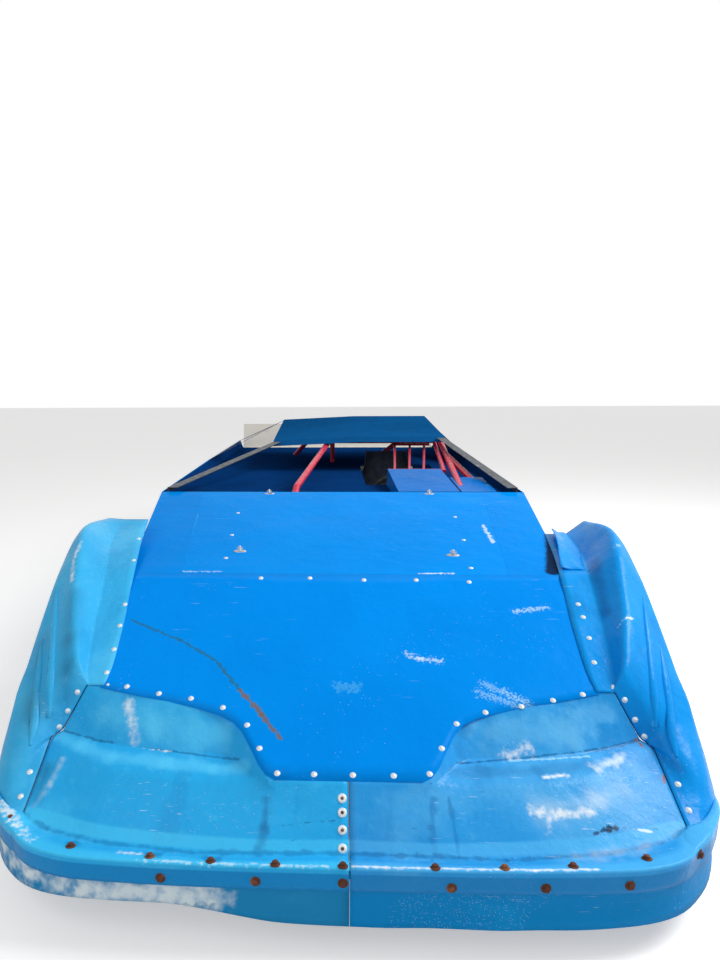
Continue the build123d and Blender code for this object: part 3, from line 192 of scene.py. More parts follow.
class Surface:
    """A finish built up from a base colour by masks."""

    def __init__(self, name, colour, rough, **sockets):
        self.mat = bpy.data.materials.new(name)
        self.mat.use_nodes = True
        self.tree = self.mat.node_tree
        self.bsdf = self.tree.nodes["Principled BSDF"]
        self.colour = colour
        self.rough = rough
        self.height = None
        for key, value in sockets.items():
            self.bsdf.inputs[key.replace("_", " ")].default_value = value

    def mask(self, effect, **values):
        """The output of a shared effect with its own values."""
        node = self.tree.nodes.new("ShaderNodeGroup")
        node.node_tree = bpy.data.node_groups[effect]
        for key, value in values.items():
            node.inputs[key].default_value = value
        return node.outputs[0]

    def tint(self, colour, amount, effect, **values):
        """Mix a colour in where an effect is bright."""
        mask = self.mask(effect, **values)
        if amount != 1.0:
            mask = calc(self.tree, "MULTIPLY", mask, amount)
        mixed = add(self.tree, "Mix", {0: mask, 6: self.colour, 7: rgb(colour)}, data_type="RGBA")
        self.colour = mixed.outputs[2]

    def mark(self, colour, width, amount, *points, ragged=0.5, grain=60.0, soft=0.45):
        """A mark in one colour that runs through some points."""
        for start, end in zip(points, points[1:]):
            self.tint(colour, amount, "stroke", Start=at(*start), End=at(*end), Width=width, Ragged=ragged,
                      Grain=grain, Soft=soft)

    def roughen(self, rough, effect, **values):
        mask = self.mask(effect, **values)
        self.rough = add(self.tree, "Mix", {0: mask, 2: self.rough, 3: rough}, data_type="FLOAT").outputs[0]

    def bump(self, distance, effect, **values):
        scaled = calc(self.tree, "MULTIPLY", self.mask(effect, **values), distance)
        self.height = scaled if self.height is None else calc(self.tree, "ADD", self.height, scaled)

    def done(self):
        for key, value in (("Base Color", self.colour), ("Roughness", self.rough)):
            if isinstance(value, bpy.types.NodeSocket):
                self.tree.links.new(value, self.bsdf.inputs[key])
            else:
                self.bsdf.inputs[key].default_value = value
        if self.height is not None:
            bump = add(self.tree, "Bump", {"Strength": 1.0, "Distance": 1.0, "Height": self.height})
            self.tree.links.new(bump.outputs[0], self.bsdf.inputs["Normal"])
        return self.mat


def effect(build, **sockets):
    """A shader node group with named inputs, whose mask reads the piece's own coordinates."""
    group = bpy.data.node_groups.new(build.__name__, "ShaderNodeTree")
    for key, value in sockets.items():
        kind = "NodeSocketVector" if isinstance(value, tuple) else "NodeSocketFloat"
        group.interface.new_socket(name=key, in_out="INPUT", socket_type=kind).default_value = value
    group.interface.new_socket(name="Mask", in_out="OUTPUT", socket_type="NodeSocketFloat")
    given = group.nodes.new("NodeGroupInput").outputs
    place = add(group, "TexCoord").outputs["Object"]
    mask = build(group, given, place)
    group.links.new(mask, group.nodes.new("NodeGroupOutput").inputs[0])


def patches(group, given, place):
    """Soft clouds between two limits."""
    moved = add(group, "Mapping", {"Vector": place, "Scale": given["Stretch"], "Location": given["Shift"]})
    cloud = noise(group, moved.outputs[0], given["Scale"], 6.0, Roughness=0.6)
    return ramp(group, cloud, given["Low"], given["High"], smooth=True)


def scratches(group, given, place):
    """Fine lines that all run about one way, broken up into clusters."""
    turned_place = add(group, "Mapping", {"Vector": place, "Rotation": given["Turn"], "Scale": (1, 28, 28)})
    lines = noise(group, turned_place.outputs[0], given["Scale"], 3.0, Distortion=0.3)
    clusters = noise(group, place, 2.3, 2.0)
    return calc(group, "MULTIPLY", ramp(group, lines, given["Low"], given["High"]),
                ramp(group, clusters, 0.5, 0.62))


def stroke(group, given, place):
    """A rough-edged mark along a straight line between two points."""
    span = calc(group, "SUBTRACT", given["End"], given["Start"], "VectorMath")
    ahead = calc(group, "SUBTRACT", place, given["Start"], "VectorMath")
    share = calc(group, "DIVIDE", dot(group, ahead, span), dot(group, span, span), use_clamp=True)
    foot = add(group, "VectorMath", {0: span, "Scale": share}, operation="SCALE").outputs[0]
    miss = calc(group, "SUBTRACT", ahead, foot, "VectorMath")
    far = add(group, "VectorMath", {0: miss}, operation="LENGTH").outputs["Value"]
    spread = ramp(group, noise(group, place, given["Grain"], 4.0), 0.3, 0.7, to=(-1.0, 1.0))
    rag = calc(group, "MULTIPLY", spread, given["Ragged"])
    edge = calc(group, "ADD", calc(group, "DIVIDE", far, given["Width"]), rag)
    return ramp(group, edge, given["Soft"], 1.0, to=(1.0, 0.0), smooth=True)


def low_dirt(group, given, place):
    """Splashed soil that thins out upwards."""
    height = add(group, "SeparateXYZ", {0: place}).outputs["Z"]
    share = calc(group, "DIVIDE", height, given["Top"])
    splash = noise(group, place, given["Grain"], 8.0, Roughness=0.7)
    limit = ramp(group, calc(group, "SUBTRACT", splash, share), -0.35, 0.35, smooth=True)
    return calc(group, "MULTIPLY", limit, given["Amount"])


def specks(group, given, place):
    """Small chips where the paint is gone, thicker in some places."""
    dots = add(group, "TexVoronoi", {"Vector": place, "Scale": given["Scale"]}).outputs["Distance"]
    small = calc(group, "LESS_THAN", dots, given["Size"])
    there = calc(group, "GREATER_THAN", noise(group, place, 3.0, 3.0), given["Spread"])
    return calc(group, "MULTIPLY", small, there)


def band(group, given, place):
    """A band between two limits along an axis."""
    height = dot(group, place, given["Axis"])
    above = calc(group, "SUBTRACT", height, given["Low"])
    below = calc(group, "SUBTRACT", given["High"], height)
    return calc(group, "DIVIDE", calc(group, "MINIMUM", above, below), given["Soft"], use_clamp=True)


effect(patches, Scale=4.0, Low=0.45, High=0.6, Stretch=(1, 1, 1), Shift=(0, 0, 0))
effect(scratches, Turn=(0, 0, 0), Scale=9.0, Low=0.66, High=0.72)
effect(stroke, Start=(0, 0, 0), End=(0, 0, 0.1), Width=0.01, Ragged=0.6, Grain=60.0, Soft=0.45)
effect(low_dirt, Top=0.5, Grain=24.0, Amount=1.0)
effect(specks, Scale=120.0, Size=0.16, Spread=0.5)
effect(band, Axis=(0, 0, 1), Low=0.0, High=0.1, Soft=0.005)


def dress(nodes, mat):
    """Give carried-over frame pieces their finish."""
    for name in nodes.split():
        mesh = frame["nodes"][name].data
        mesh.materials.clear()
        mesh.materials.append(mat)


def worn_metal(name, colour, worn, rough=0.4, metallic=0.0, spread=0.6):
    """Painted or bare metal with worn patches and a fine grain."""
    s = Surface(name, rgb(colour), rough, Metallic=metallic)
    s.tint(worn, 0.8, "patches", Scale=14.0, Low=spread, High=spread + 0.12)
    s.roughen(min(1.0, rough + 0.2), "patches", Scale=30.0, Low=0.4, High=0.65)
    s.bump(0.0002, "patches", Scale=160.0, Low=0.3, High=0.7)
    return s.done()


def body_blue(name, colour, deep, gloss=0.28, shine=0.03):
    """Painted sheet: slow changes of tone, faint ripple, short scratches and soil low down."""
    s = Surface(name, rgb(colour), gloss, Specular_IOR_Level=shine)
    s.tint(deep, 0.5, "patches", Scale=1.1, Low=0.4, High=0.62)
    s.tint("BFE4FF", 0.45, "scratches", Turn=(0.3, 0.2, 0.8), Low=0.69, High=0.74)
    s.tint("CFE8FA", 0.6, "specks", Scale=70.0, Size=0.07, Spread=0.56)
    s.tint("6E6152", 1.0, "low_dirt", Top=0.42, Amount=0.5)
    s.roughen(gloss + 0.15, "patches", Scale=5.0, Low=0.45, High=0.7)
    s.bump(0.008, "patches", Scale=1.6, Low=0.2, High=0.8, Shift=(3, 1, 2))
    return s


def moulded_blue(name, colour, faded, deep):
    """Faded moulded plastic: paler and deeper clouds, fine scratches, chips and a shallow ripple."""
    s = Surface(name, rgb(colour), 0.22, Specular_IOR_Level=0.1)
    s.tint(faded, 0.5, "patches", Scale=2.4, Low=0.48, High=0.66, Stretch=(1, 1, 2))
    s.tint(deep, 0.45, "patches", Scale=3.1, Low=0.52, High=0.7, Shift=(5, 2, 1), Stretch=(2.5, 1, 0.6))
    s.tint(faded, 0.35, "patches", Scale=26.0, Low=0.56, High=0.74, Shift=(1, 7, 1))
    s.tint("E2F4FF", 0.5, "scratches", Turn=(0.2, 0.9, 0.5), Low=0.67, High=0.73)
    s.tint(deep, 0.6, "scratches", Turn=(0.9, 0.1, 0.2), Scale=14.0, Low=0.69, High=0.74)
    s.tint("EAF6FC", 0.7, "specks", Scale=90.0, Size=0.08, Spread=0.55)
    s.roughen(0.42, "patches", Scale=6.0, Low=0.42, High=0.66, Shift=(2, 2, 2))
    s.bump(0.008, "patches", Scale=2.2, Low=0.2, High=0.8, Shift=(3, 1, 2))
    s.bump(0.0012, "patches", Scale=9.0, Low=0.25, High=0.75, Shift=(1, 4, 2))
    s.tint("08263E", 0.9, "band", Axis=(1, 0, 0), Low=-0.0025, High=0.0025, Soft=0.001)
    return s


# Lines pressed into the nose's left half: under the shelf, along its crease and at its foot. Painted shade
# and painted highlights run along them.
SHELF_LINE = [
    (0.3, 0.262, 0.388), (0.4, 0.27, 0.388), (0.55, 0.285, 0.388), (0.72, 0.32, 0.388), (0.84, 0.37, 0.39),
    (0.93, 0.425, 0.395),
]
CREASE_LINE = [(0.3, 0.292, 0.399), (0.56, 0.335, 0.4), (0.78, 0.384, 0.401), (0.915, 0.438, 0.403)]
FOOT_LINE = [
    (0.01, 0.078, 0.262), (0.42, 0.068, 0.262), (0.7, 0.102, 0.262), (0.86, 0.15, 0.264),
    (0.945, 0.196, 0.278),
]
# Heights of the painted highlight on the ledge's edge and of the painted shade on the strip under it.
LEDGE_HIGHLIGHT_BAND = {"Low": 0.262, "High": 0.288}
LIP_SHADE_BAND = {"Low": 0.19, "High": 0.256}


def other_side(line):
    return [(-x, s, z) for x, s, z in line]


def nose_left_plastic():
    s = moulded_blue("nose_plastic_left", "2C9CE4", "5CB6EC", "1C82CA")
    # Painted shade along the shelf.
    s.mark("2A80BC", 0.03, 0.45, *SHELF_LINE[:4], grain=12.0, soft=0.1)
    s.mark("6CC2F4", 0.06, 0.45, (0.42, 0.37, 0.455), (0.7, 0.4, 0.47), (0.82, 0.43, 0.48), ragged=0.6,
           grain=14.0, soft=0.1)
    # Painted shade in the crease, then a painted highlight along part of it.
    s.mark("14659F", 0.006, 0.75, *CREASE_LINE, ragged=0.4)
    s.mark("9ED8F8", 0.005, 0.7, (0.48, 0.316, 0.397), (0.62, 0.334, 0.397), (0.73, 0.352, 0.397), ragged=0.8)
    # Painted highlight on the ledge's top and painted shade on the lip under it.
    s.tint("4FB8F4", 0.8, "band", **LEDGE_HIGHLIGHT_BAND)
    s.tint("1880C4", 0.8, "band", **LIP_SHADE_BAND)
    # Painted highlight along the lip's crest.
    s.mark("F0F8FC", 0.008, 0.85, (0.01, 0.02, 0.271), (0.48, 0.024, 0.271), (0.64, 0.032, 0.271), soft=0.0)
    # Painted shade in the valley at the face's foot.
    s.mark("14649E", 0.009, 0.5, *FOOT_LINE, ragged=0.6, grain=30.0, soft=0.1)
    s.mark("1C6FAE", 0.016, 0.5, (0.235, 0.175, 0.36), (0.228, 0.12, 0.315), (0.222, 0.06, 0.268),
           grain=30.0, soft=0.1)
    s.mark("1C6FAE", 0.01, 0.5, (0.282, 0.185, 0.36), (0.29, 0.12, 0.31), (0.292, 0.07, 0.268), grain=30.0,
           soft=0.1)
    s.mark("2580BE", 0.034, 0.5, (0.33, 0.33, 0.415), (0.35, 0.37, 0.47), grain=20.0, soft=0.1)
    s.mark("DCEEFA", 0.06, 0.4, (0.53, 0.18, 0.335), (0.7, 0.215, 0.34), (0.8, 0.26, 0.35), ragged=0.3,
           grain=14.0, soft=-0.8)
    s.mark("EAF4FA", 0.02, 0.9, (0.508, 0.172, 0.332), (0.59, 0.174, 0.327), (0.68, 0.192, 0.324), soft=-0.3)
    s.mark("EAF4FA", 0.013, 0.85, (0.56, 0.165, 0.326), (0.545, 0.13, 0.303), soft=-0.3)
    # Painted highlight in the pocket.
    s.mark("E8F2FA", 0.026, 0.85, (0.47, 0.325, 0.415), (0.55, 0.342, 0.424), soft=-0.4)
    s.mark("F2F8FC", 0.01, 0.85, (0.57, 0.262, 0.382), (0.64, 0.275, 0.382), soft=-0.2)
    s.mark("E4F2FA", 0.034, 0.75, (0.74, 0.312, 0.382), (0.83, 0.362, 0.387), grain=40.0, soft=-0.5)
    s.mark("CFE6F6", 0.03, 0.5, (0.6, 0.075, 0.272), (0.82, 0.13, 0.275), ragged=0.4, grain=30.0, soft=-0.5)
    s.mark("F4FAFC", 0.008, 0.85, (0.59, 0.1, 0.29), (0.592, 0.065, 0.268), soft=0.2)
    s.mark("9A5B33", 0.006, 0.8, (0.905, 0.44, 0.405), (0.93, 0.405, 0.392), (0.938, 0.37, 0.372), ragged=0.6)
    s.mark("9A5B33", 0.005, 0.75, (0.915, 0.335, 0.345), (0.94, 0.318, 0.335), (0.948, 0.34, 0.35),
           ragged=0.6)
    s.mark("10324C", 0.014, 1.0, (0.716, 0.158, 0.298), (0.738, 0.16, 0.297), soft=0.3)
    s.mark("134E7C", 0.005, 0.9, (0.672, 0.14, 0.292), (0.716, 0.158, 0.298), (0.8, 0.175, 0.292))
    for rise in (0.0, 0.018):
        s.mark("E6F3FB", 0.004, 0.8, (0.752, 0.165 + rise, 0.3 + rise),
               (0.842, 0.176 + rise, 0.276 + rise * 1.5))
        s.mark("155A90", 0.003, 0.7, (0.75, 0.17 + rise, 0.305 + rise),
               (0.862, 0.184 + rise, 0.28 + rise * 1.5))
    s.mark("1B6EAD", 0.003, 0.6, (0.03, 0.145, 0.342), (0.19, 0.14, 0.335))
    s.mark("1B6EAD", 0.003, 0.5, (0.04, 0.118, 0.312), (0.195, 0.118, 0.312))
    return s.done()


def nose_right_plastic():
    s = moulded_blue("nose_plastic_right", "28AEEE", "4CC8FA", "1E8ED0")
    # Painted reflection along the shelf.
    s.mark("56CEFE", 0.034, 0.65, *other_side(SHELF_LINE), ragged=0.4, grain=12.0, soft=0.1)
    s.mark("56CEFE", 0.07, 0.6, (-0.76, 0.43, 0.47), (-0.6, 0.395, 0.455), (-0.4, 0.35, 0.44), grain=10.0,
           soft=0.0)
    # Painted shade in the crease.
    s.mark("15699F", 0.005, 0.6, *other_side(CREASE_LINE))
    # Painted highlight on the ledge's top and painted shade on the lip under it.
    s.tint("44C8FA", 0.8, "band", **LEDGE_HIGHLIGHT_BAND)
    s.tint("0680C6", 0.8, "band", **LIP_SHADE_BAND)
    # Painted highlight along the lip's crest.
    s.mark("D8F2FC", 0.008, 0.6, (-0.06, 0.02, 0.271), (-0.38, 0.021, 0.271), (-0.56, 0.026, 0.271),
           ragged=0.9, soft=0.0)
    # Painted shade in the valley at the face's foot.
    s.mark("1576B0", 0.01, 0.5, *other_side(FOOT_LINE), ragged=0.6, grain=30.0, soft=0.1)
    s.mark("1C74AE", 0.02, 0.55, (-0.235, 0.17, 0.355), (-0.23, 0.115, 0.31), (-0.245, 0.062, 0.268),
           grain=24.0, soft=0.1)
    # Painted highlight in the pocket.
    s.mark("EFF8FC", 0.026, 1.0, (-0.7, 0.44, 0.5), (-0.68, 0.41, 0.455), (-0.658, 0.372, 0.404),
           ragged=0.25, soft=-0.2)
    s.mark("CBE6F4", 0.02, 0.6, (-0.885, 0.34, 0.362), (-0.9, 0.27, 0.325), (-0.925, 0.215, 0.3), ragged=0.3,
           soft=-0.6)
    s.mark("1D6288", 0.05, 0.6, (-0.93, 0.33, 0.345), (-0.92, 0.23, 0.3), ragged=0.3, grain=14.0, soft=-0.5)
    s.mark("F0F8FC", 0.02, 0.8, (-0.88, 0.1, 0.276), (-0.96, 0.165, 0.282), (-1.03, 0.232, 0.288),
           ragged=0.7, grain=70.0, soft=-0.2)
    s.mark("F0F8FC", 0.012, 0.7, (-0.62, 0.06, 0.266), (-0.56, 0.056, 0.266), ragged=0.6, soft=-0.2)
    # Painted highlight along the crease.
    s.mark("D6EEFA", 0.006, 0.85, (-0.64, 0.35, 0.397), (-0.54, 0.333, 0.397))
    s.mark("1F7AB4", 0.003, 0.7, (-0.04, 0.13, 0.322), (-0.12, 0.125, 0.318), (-0.185, 0.118, 0.312))
    s.mark("1F7AB4", 0.003, 0.6, (-0.05, 0.1, 0.292), (-0.11, 0.105, 0.297), (-0.17, 0.09, 0.282))
    for x, s0 in ((0.762, 0.08), (0.533, 0.044), (0.367, 0.03)):
        s.mark("1778B4", 0.02, 0.6, (-x - 0.012, s0 + 0.018, 0.268), (-x + 0.02, s0 + 0.014, 0.268),
               ragged=0.4, grain=30.0, soft=0.2)
    return s.done()


# Upright beads pressed into the flare's front wall, from top to foot.
BEADS = [
    [(1.078, 0.822, 0.753), (1.035, 0.683, 0.675), (0.996, 0.558, 0.596), (0.972, 0.48, 0.526),
     (0.962, 0.436, 0.45)],
    [(1.069, 0.655, 0.626), (1.039, 0.549, 0.556), (1.02, 0.47, 0.487), (1.002, 0.415, 0.43),
     (1.0, 0.372, 0.385)],
]


def pressed_lines(s, side, light, dark):
    """Painted highlight and painted shade on the flanks of the upright beads in a flare's wall, and its dark
    edge at the joint.
    """
    for line in BEADS:
        for shift, colour in ((-0.007, light), (0.01, dark)):
            flank = [(side * (x + shift), station, z) for x, station, z in line[::2]]
            s.mark(colour, 0.007, 0.7, *flank, ragged=0.15, soft=-0.2)
    joint = [(side * x, station, z) for x, station, z in JOINT[1:5]]
    s.mark("0A2F4E", 0.0045, 0.9, *joint, ragged=0.1)


def flare_left_plastic():
    s = moulded_blue("flare_plastic_left", "0494E8", "129EEC", "0672BC")
    # Painted shade in the valley wall between the flange's fold and the ridge.
    s.mark("04539A", 0.04, 0.5, (0.925, 0.76, 0.705), (0.945, 0.96, 0.83), (0.985, 1.2, 0.9), ragged=0.3,
           grain=10.0, soft=0.0)
    s.mark("E8F4FB", 0.006, 0.7, (0.93, 0.66, 0.69), (0.96, 0.672, 0.72), (0.99, 0.68, 0.715), ragged=0.8)
    s.mark("0A2440", 0.006, 1.0, (0.82, 0.978, 0.8), (0.95, 0.972, 0.8))
    # Painted highlight on the ridge's crest at the rear.
    s.mark("A8CBE2", 0.01, 0.6, (1.06, 1.01, 0.89), (1.04, 0.99, 0.905), (1.0, 0.985, 0.885), ragged=0.7)
    pressed_lines(s, 1, "56C0FC", "0668AC")
    return s.done()


def flare_right_plastic():
    # Its pale base colour is partly faded plastic and partly painted light on the sunlit top.
    s = moulded_blue("flare_plastic_right", "38B4EC", "5CCAF6", "2A9AD4")
    # Painted shade on the front wall: beside the ridge, and further out towards the wheel.
    s.mark("226894", 0.06, 0.55, (-0.985, 0.76, 0.76), (-0.95, 0.584, 0.652), (-0.926, 0.504, 0.587),
           (-0.914, 0.463, 0.509), ragged=0.1, grain=6.0, soft=-0.6)
    s.mark("2A7098", 0.09, 0.5, (-1.06, 0.64, 0.61), (-1.03, 0.47, 0.47), (-1.01, 0.34, 0.35), ragged=0.1,
           grain=6.0, soft=-0.6)
    # Painted highlight along the ridge's inner crest, curving in at the rear.
    s.mark("F2F9FC", 0.015, 0.85, (-0.96, 1.15, 0.905), (-1.01, 1.09, 0.935), (-1.045, 1.0, 0.905),
           (-1.045, 0.9, 0.85), (-1.02, 0.82, 0.795), ragged=0.4, grain=80.0, soft=-0.2)
    pressed_lines(s, -1, "3E9CCC", "15456A")
    return s.done()


def valance_plastic(name, colour, faded, *scraped):
    """Strip plastic, scoured pale where it scrapes the ground."""
    s = Surface(name, rgb(colour), 0.42, Specular_IOR_Level=0.06)
    s.tint(faded, 0.5, "patches", Scale=3.0, Low=0.5, High=0.7, Stretch=(1, 1, 2))
    if scraped:
        s.mark("DCEAF0", 0.066, 0.95, *scraped, ragged=0.45, grain=30.0, soft=-0.2)
        lower = [(x, station, z - 0.028) for x, station, z in scraped]
        s.mark("2A7CA8", 0.01, 0.5, *lower, ragged=0.9, grain=70.0, soft=0.0)
    s.tint("EEF5F7", 0.45, "specks", Scale=190.0, Size=0.16, Spread=0.5)
    s.tint("E6F2F6", 0.4, "scratches", Turn=(0.1, 0.1, 0.1))
    s.bump(0.003, "patches", Scale=7.0, Low=0.2, High=0.8)
    return s.done()


# Frame, cage, cockpit and drive: the pieces, then their finish's name, colour, wear, roughness and metal.
FINISHES = [
    ("front_clip chassis_frame rear_clip front_bumper rear_bumper front_suspension",
     "frame_black", "1C1D20", "5A3B2A", 0.45),
    ("roll_cage", "cage_red", "D42C4A", "8E1830", 0.25),
    ("windshield_bars", "bar_red", "C42440", "F05A70", 0.3),
    ("powertrain rear_axle knuckle_left knuckle_right", "cast_grey", "3A3A3C", "5E4A3C", 0.6, 0.3),
    ("exhausts rear_links rack_bar steering_column", "bare_steel", "6D6A66", "7A4A30", 0.45, 0.8),
    ("radiator cockpit_tub steering_rack", "bare_aluminium", "A9ABAD", "8B8C8E", 0.4, 0.8),
    ("seat", "seat_paint", "1E2C40", "33435A", 0.6),
    ("fuel_cell", "cell_black", "202226", "3A3530", 0.5),
    ("coil_shocks", "spring_red", "A02820", "5A2018", 0.4),
    ("steering_wheel", "wheel_grip", "1B1B1C", "333333", 0.8),
    ("roof_posts", "post_metal", "4A5056", "A8AEB4", 0.4, 0.3),
    ("spoiler", "spoiler_white", "E8E4DA", "D6CFC0", 0.5),
]
# Plain blue sheets: the pieces, then the name, colour, deeper tone, roughness and shine of their paint.
SHEET_PAINTS = [
    ("door_sides quarter_sides tail_panel", "side_blue", "0680D6", "0572C2"),
    ("deck", "deck_blue", "0A3C7A", "0A2C58", 0.3, 0.0),
    ("dash_cowl", "cowl_blue", "0A7AD6", "0868BC", 0.12, 0.008),
    ("roof", "roof_blue", "125C98", "0C4C82", 0.4, 0.0),
    # The sail panels' dark navy is painted shade, as their inner faces look in shade.
    ("sail_panels", "sail_blue", "0A3C70", "082C56", 0.3, 0.01),
]


def paint():
    """Finishes of all the pieces that keep their plain shape."""
    for nodes, *finish in FINISHES:
        dress(nodes, worn_metal(*finish))
    for nodes, *tones in SHEET_PAINTS:
        dress(nodes, body_blue(*tones).done())
    dress("bonnet", bonnet_blue())
    dress("fender_tops", fender_blue())
    dress(" ".join("rim_" + name for name in WHEELS), rim_paint())


def rim_paint():
    s = Surface("rim_paint", rgb("2A2B2F"), 0.38, Metallic=0.2)
    s.tint("6B5547", 0.7, "patches", Scale=18.0, Low=0.55, High=0.65)
    s.tint("B8B4AC", 0.8, "specks", Scale=90.0, Size=0.12, Spread=0.5)
    s.tint("6E5A48", 1.0, "low_dirt", Top=0.6, Amount=0.4)
    s.bump(0.0003, "patches", Scale=120.0, Low=0.3, High=0.7)
    return s.done()


def panel_blue():
    s = body_blue("panel_blue", "0090F2", "0086E4")
    s.mark("2A6E8C", 0.007, 0.7, (-0.773, 0.733, 0.673), (-0.577, 0.651, 0.631), (-0.442, 0.575, 0.592),
           ragged=0.7)
    s.mark("2E6E86", 0.008, 0.75, (-0.442, 0.575, 0.592), (-0.343, 0.467, 0.538), ragged=0.8)
    s.mark("7A6A58", 0.009, 0.85, (-0.343, 0.467, 0.538), (-0.264, 0.385, 0.496), (-0.203, 0.314, 0.46),
           ragged=0.9)
    s.mark("4FB0F0", 0.02, 0.5, (-0.03, 0.482, 0.545), (0.03, 0.48, 0.544), ragged=1.0, grain=90.0)
    s.mark("D8EEFC", 0.012, 0.6, (0.205, 0.605, 0.608), (0.25, 0.588, 0.599), (0.32, 0.58, 0.595),
           ragged=1.1, grain=110.0, soft=0.0)
    s.mark("C2E4FA", 0.011, 0.6, (0.61, 0.785, 0.698), (0.73, 0.805, 0.709), ragged=1.2, grain=120.0,
           soft=0.1)
    scuffs = [((0.44, 0.5), (0.56, 0.44)), ((0.42, 0.47), (0.53, 0.43)), ((0.505, 0.475), (0.575, 0.425))]
    for scuff in scuffs:
        ends = [(x, station, slope_z(station)) for x, station in scuff]
        s.mark("9FD4F8", 0.014, 0.5, *ends, ragged=1.4, grain=150.0, soft=0.1)
    return s.done()


def bonnet_blue():
    s = body_blue("bonnet_blue", "0094F4", "0088E6", 0.12, 0.005)
    s.mark("E8F5FD", 0.007, 0.85, (0.29, 0.965, 0.787), (0.42, 0.968, 0.787), ragged=0.9, grain=110.0,
           soft=0.2)
    s.mark("BCE0F8", 0.006, 0.6, (-0.64, 0.97, 0.787), (-0.48, 0.972, 0.788), ragged=1.3, grain=120.0,
           soft=0.2)
    # Painted highlights along both side edges of the bonnet, with a dark line beside the one on the right.
    s.mark("DDEFFB", 0.01, 0.7, (0.655, 1.52, 0.86), (0.65, 1.3, 0.83), ragged=0.8)
    s.mark("06508E", 0.008, 0.9, (-0.725, 1.67, 0.88), (-0.69, 1.276, 0.827), (-0.664, 1.023, 0.794),
           ragged=0.3)
    s.mark("42B2FA", 0.007, 0.6, (-0.712, 1.67, 0.88), (-0.677, 1.276, 0.827), (-0.655, 1.023, 0.794),
           ragged=0.4)
    return s.done()


def fender_blue():
    s = body_blue("fender_blue", "0090F0", "0086E2", 0.12, 0.005)
    # Painted shadow under the lifted rear of the left flange.
    s.mark("06264C", 0.036, 1.0, (0.805, 0.985, 0.79), (0.868, 1.18, 0.815), (0.93, 1.4, 0.845), ragged=0.12)
    return s.done()


# Points on each rounded corner, and the share of a straight that one corner may take.
ARC, CORNER_SHARE = 5, 0.45


def rounded(points, radii, spans):
    """Points along a line, with its inner corners rounded and its spans filled."""
    out = []
    last = points[0]
    for i in range(1, len(points)):
        corner = points[i]
        if i < len(points) - 1:
            back, ahead = points[i - 1] - corner, points[i + 1] - corner
            reach = min(radii[i - 1], CORNER_SHARE * back.length, CORNER_SHARE * ahead.length)
            start, end = corner + back.normalized() * reach, corner + ahead.normalized() * reach
        else:
            start = end = corner
        steps = spans[i - 1]
        out += [last.lerp(start, k / steps) for k in range(steps)]
        if i < len(points) - 1:
            for k in range(ARC):
                u = k / ARC
                out.append(start * (1 - u) ** 2 + corner * 2 * u * (1 - u) + end * u ** 2)
        last = end
    return out + [points[-1]]


def flowing(rows, steps):
    """Rows of points put between the given rows, on smooth lines through them."""
    out = [[] for _ in range(sum(steps) + 1)]
    for line in zip(*rows):
        places = [line[0]]
        for i, count in enumerate(steps):
            a, b = line[i], line[i + 1]
            before = line[i - 1] if i else a
            after = line[i + 2] if i + 2 < len(line) else b
            chord = (b - a).length / 3
            out_of_a = a + (b - before).normalized() * chord if (b - before).length else a
            into_b = b - (after - a).normalized() * chord if (after - a).length else b
            for k in range(1, count + 1):
                u = k / count
                v = 1 - u
                places.append(a * v ** 3 + out_of_a * 3 * u * v * v + into_b * 3 * u * u * v + b * u ** 3)
        for row, place in zip(out, places):
            row.append(place)
    return out


def mesh_of(name, bm):
    """A mesh made from a bmesh, which is used up."""
    mesh = bpy.data.meshes.new(name)
    bm.to_mesh(mesh)
    bm.free()
    return mesh


def new_piece(name, bm, mat, slot, body="car", replace=False, smooth=True, wall=0.0):
    """A finished piece that rides on a body, with a wall where it starts as a bare surface."""
    mesh = mesh_of(name, bm)
    mesh.materials.append(mat)
    if smooth:
        mesh.shade_smooth()
    obj = linked(name, mesh)
    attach(obj, body)
    if replace:
        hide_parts(slot)
    if wall:
        solid = obj.modifiers.new("wall", "SOLIDIFY")
        solid.thickness = wall
        solid.offset = -1
    return obj


def sheet_of(rows, flip=False):
    """A grid bent to rows of points."""
    bm = bmesh.new()
    across, along = len(rows) - 1, len(rows[0]) - 1
    bmesh.ops.create_grid(bm, x_segments=across, y_segments=along, size=1)
    for v in bm.verts:
        v.co = rows[round((v.co.x + 1) / 2 * across)][round((v.co.y + 1) / 2 * along)]
    if flip:
        bmesh.ops.reverse_faces(bm, faces=bm.faces)
    return bm


def half_sheet(rows, side):
    """A grid bent to the left side's rows, or to their mirror image on the right."""
    if side == "right":
        rows = [[Vector((-p.x, p.y, p.z)) for p in row] for row in rows]
    return sheet_of(rows, flip=side == "left")


# Sections of the nose's left half.
# Columns: x, lip s, valley s, shelf edge s, z, shelf back s, z, panel fold s
NOSE = [
    (0.0005, 0.011, 0.08, 0.15, 0.345, 0.172, 0.371, 0.188),
    (0.205, 0.011, 0.066, 0.172, 0.362, 0.187, 0.384, 0.196),
    (0.24, 0.011, 0.064, 0.19, 0.372, 0.203, 0.396, 0.208),
    (0.352, 0.012, 0.064, 0.218, 0.376, 0.31, 0.4, 0.378),
    (0.48, 0.015, 0.075, 0.226, 0.376, 0.325, 0.4, 0.407),
    (0.69, 0.026, 0.1, 0.268, 0.376, 0.357, 0.4, 0.45),
    (0.79, 0.039, 0.124, 0.314, 0.376, 0.391, 0.4, 0.47),
]
# The nose's outer end: x, s and height of the lap, the fold, the shelf's back and edge, the valley
# and the lip.
NOSE_END = [
    (0.826, 0.514, 0.559), (0.826, 0.474, 0.539), (0.858, 0.418, 0.401), (0.87, 0.375, 0.383),
    (0.893, 0.16, 0.26), (0.886, 0.072, 0.272), (0.886, 0.076, 0.205),
]
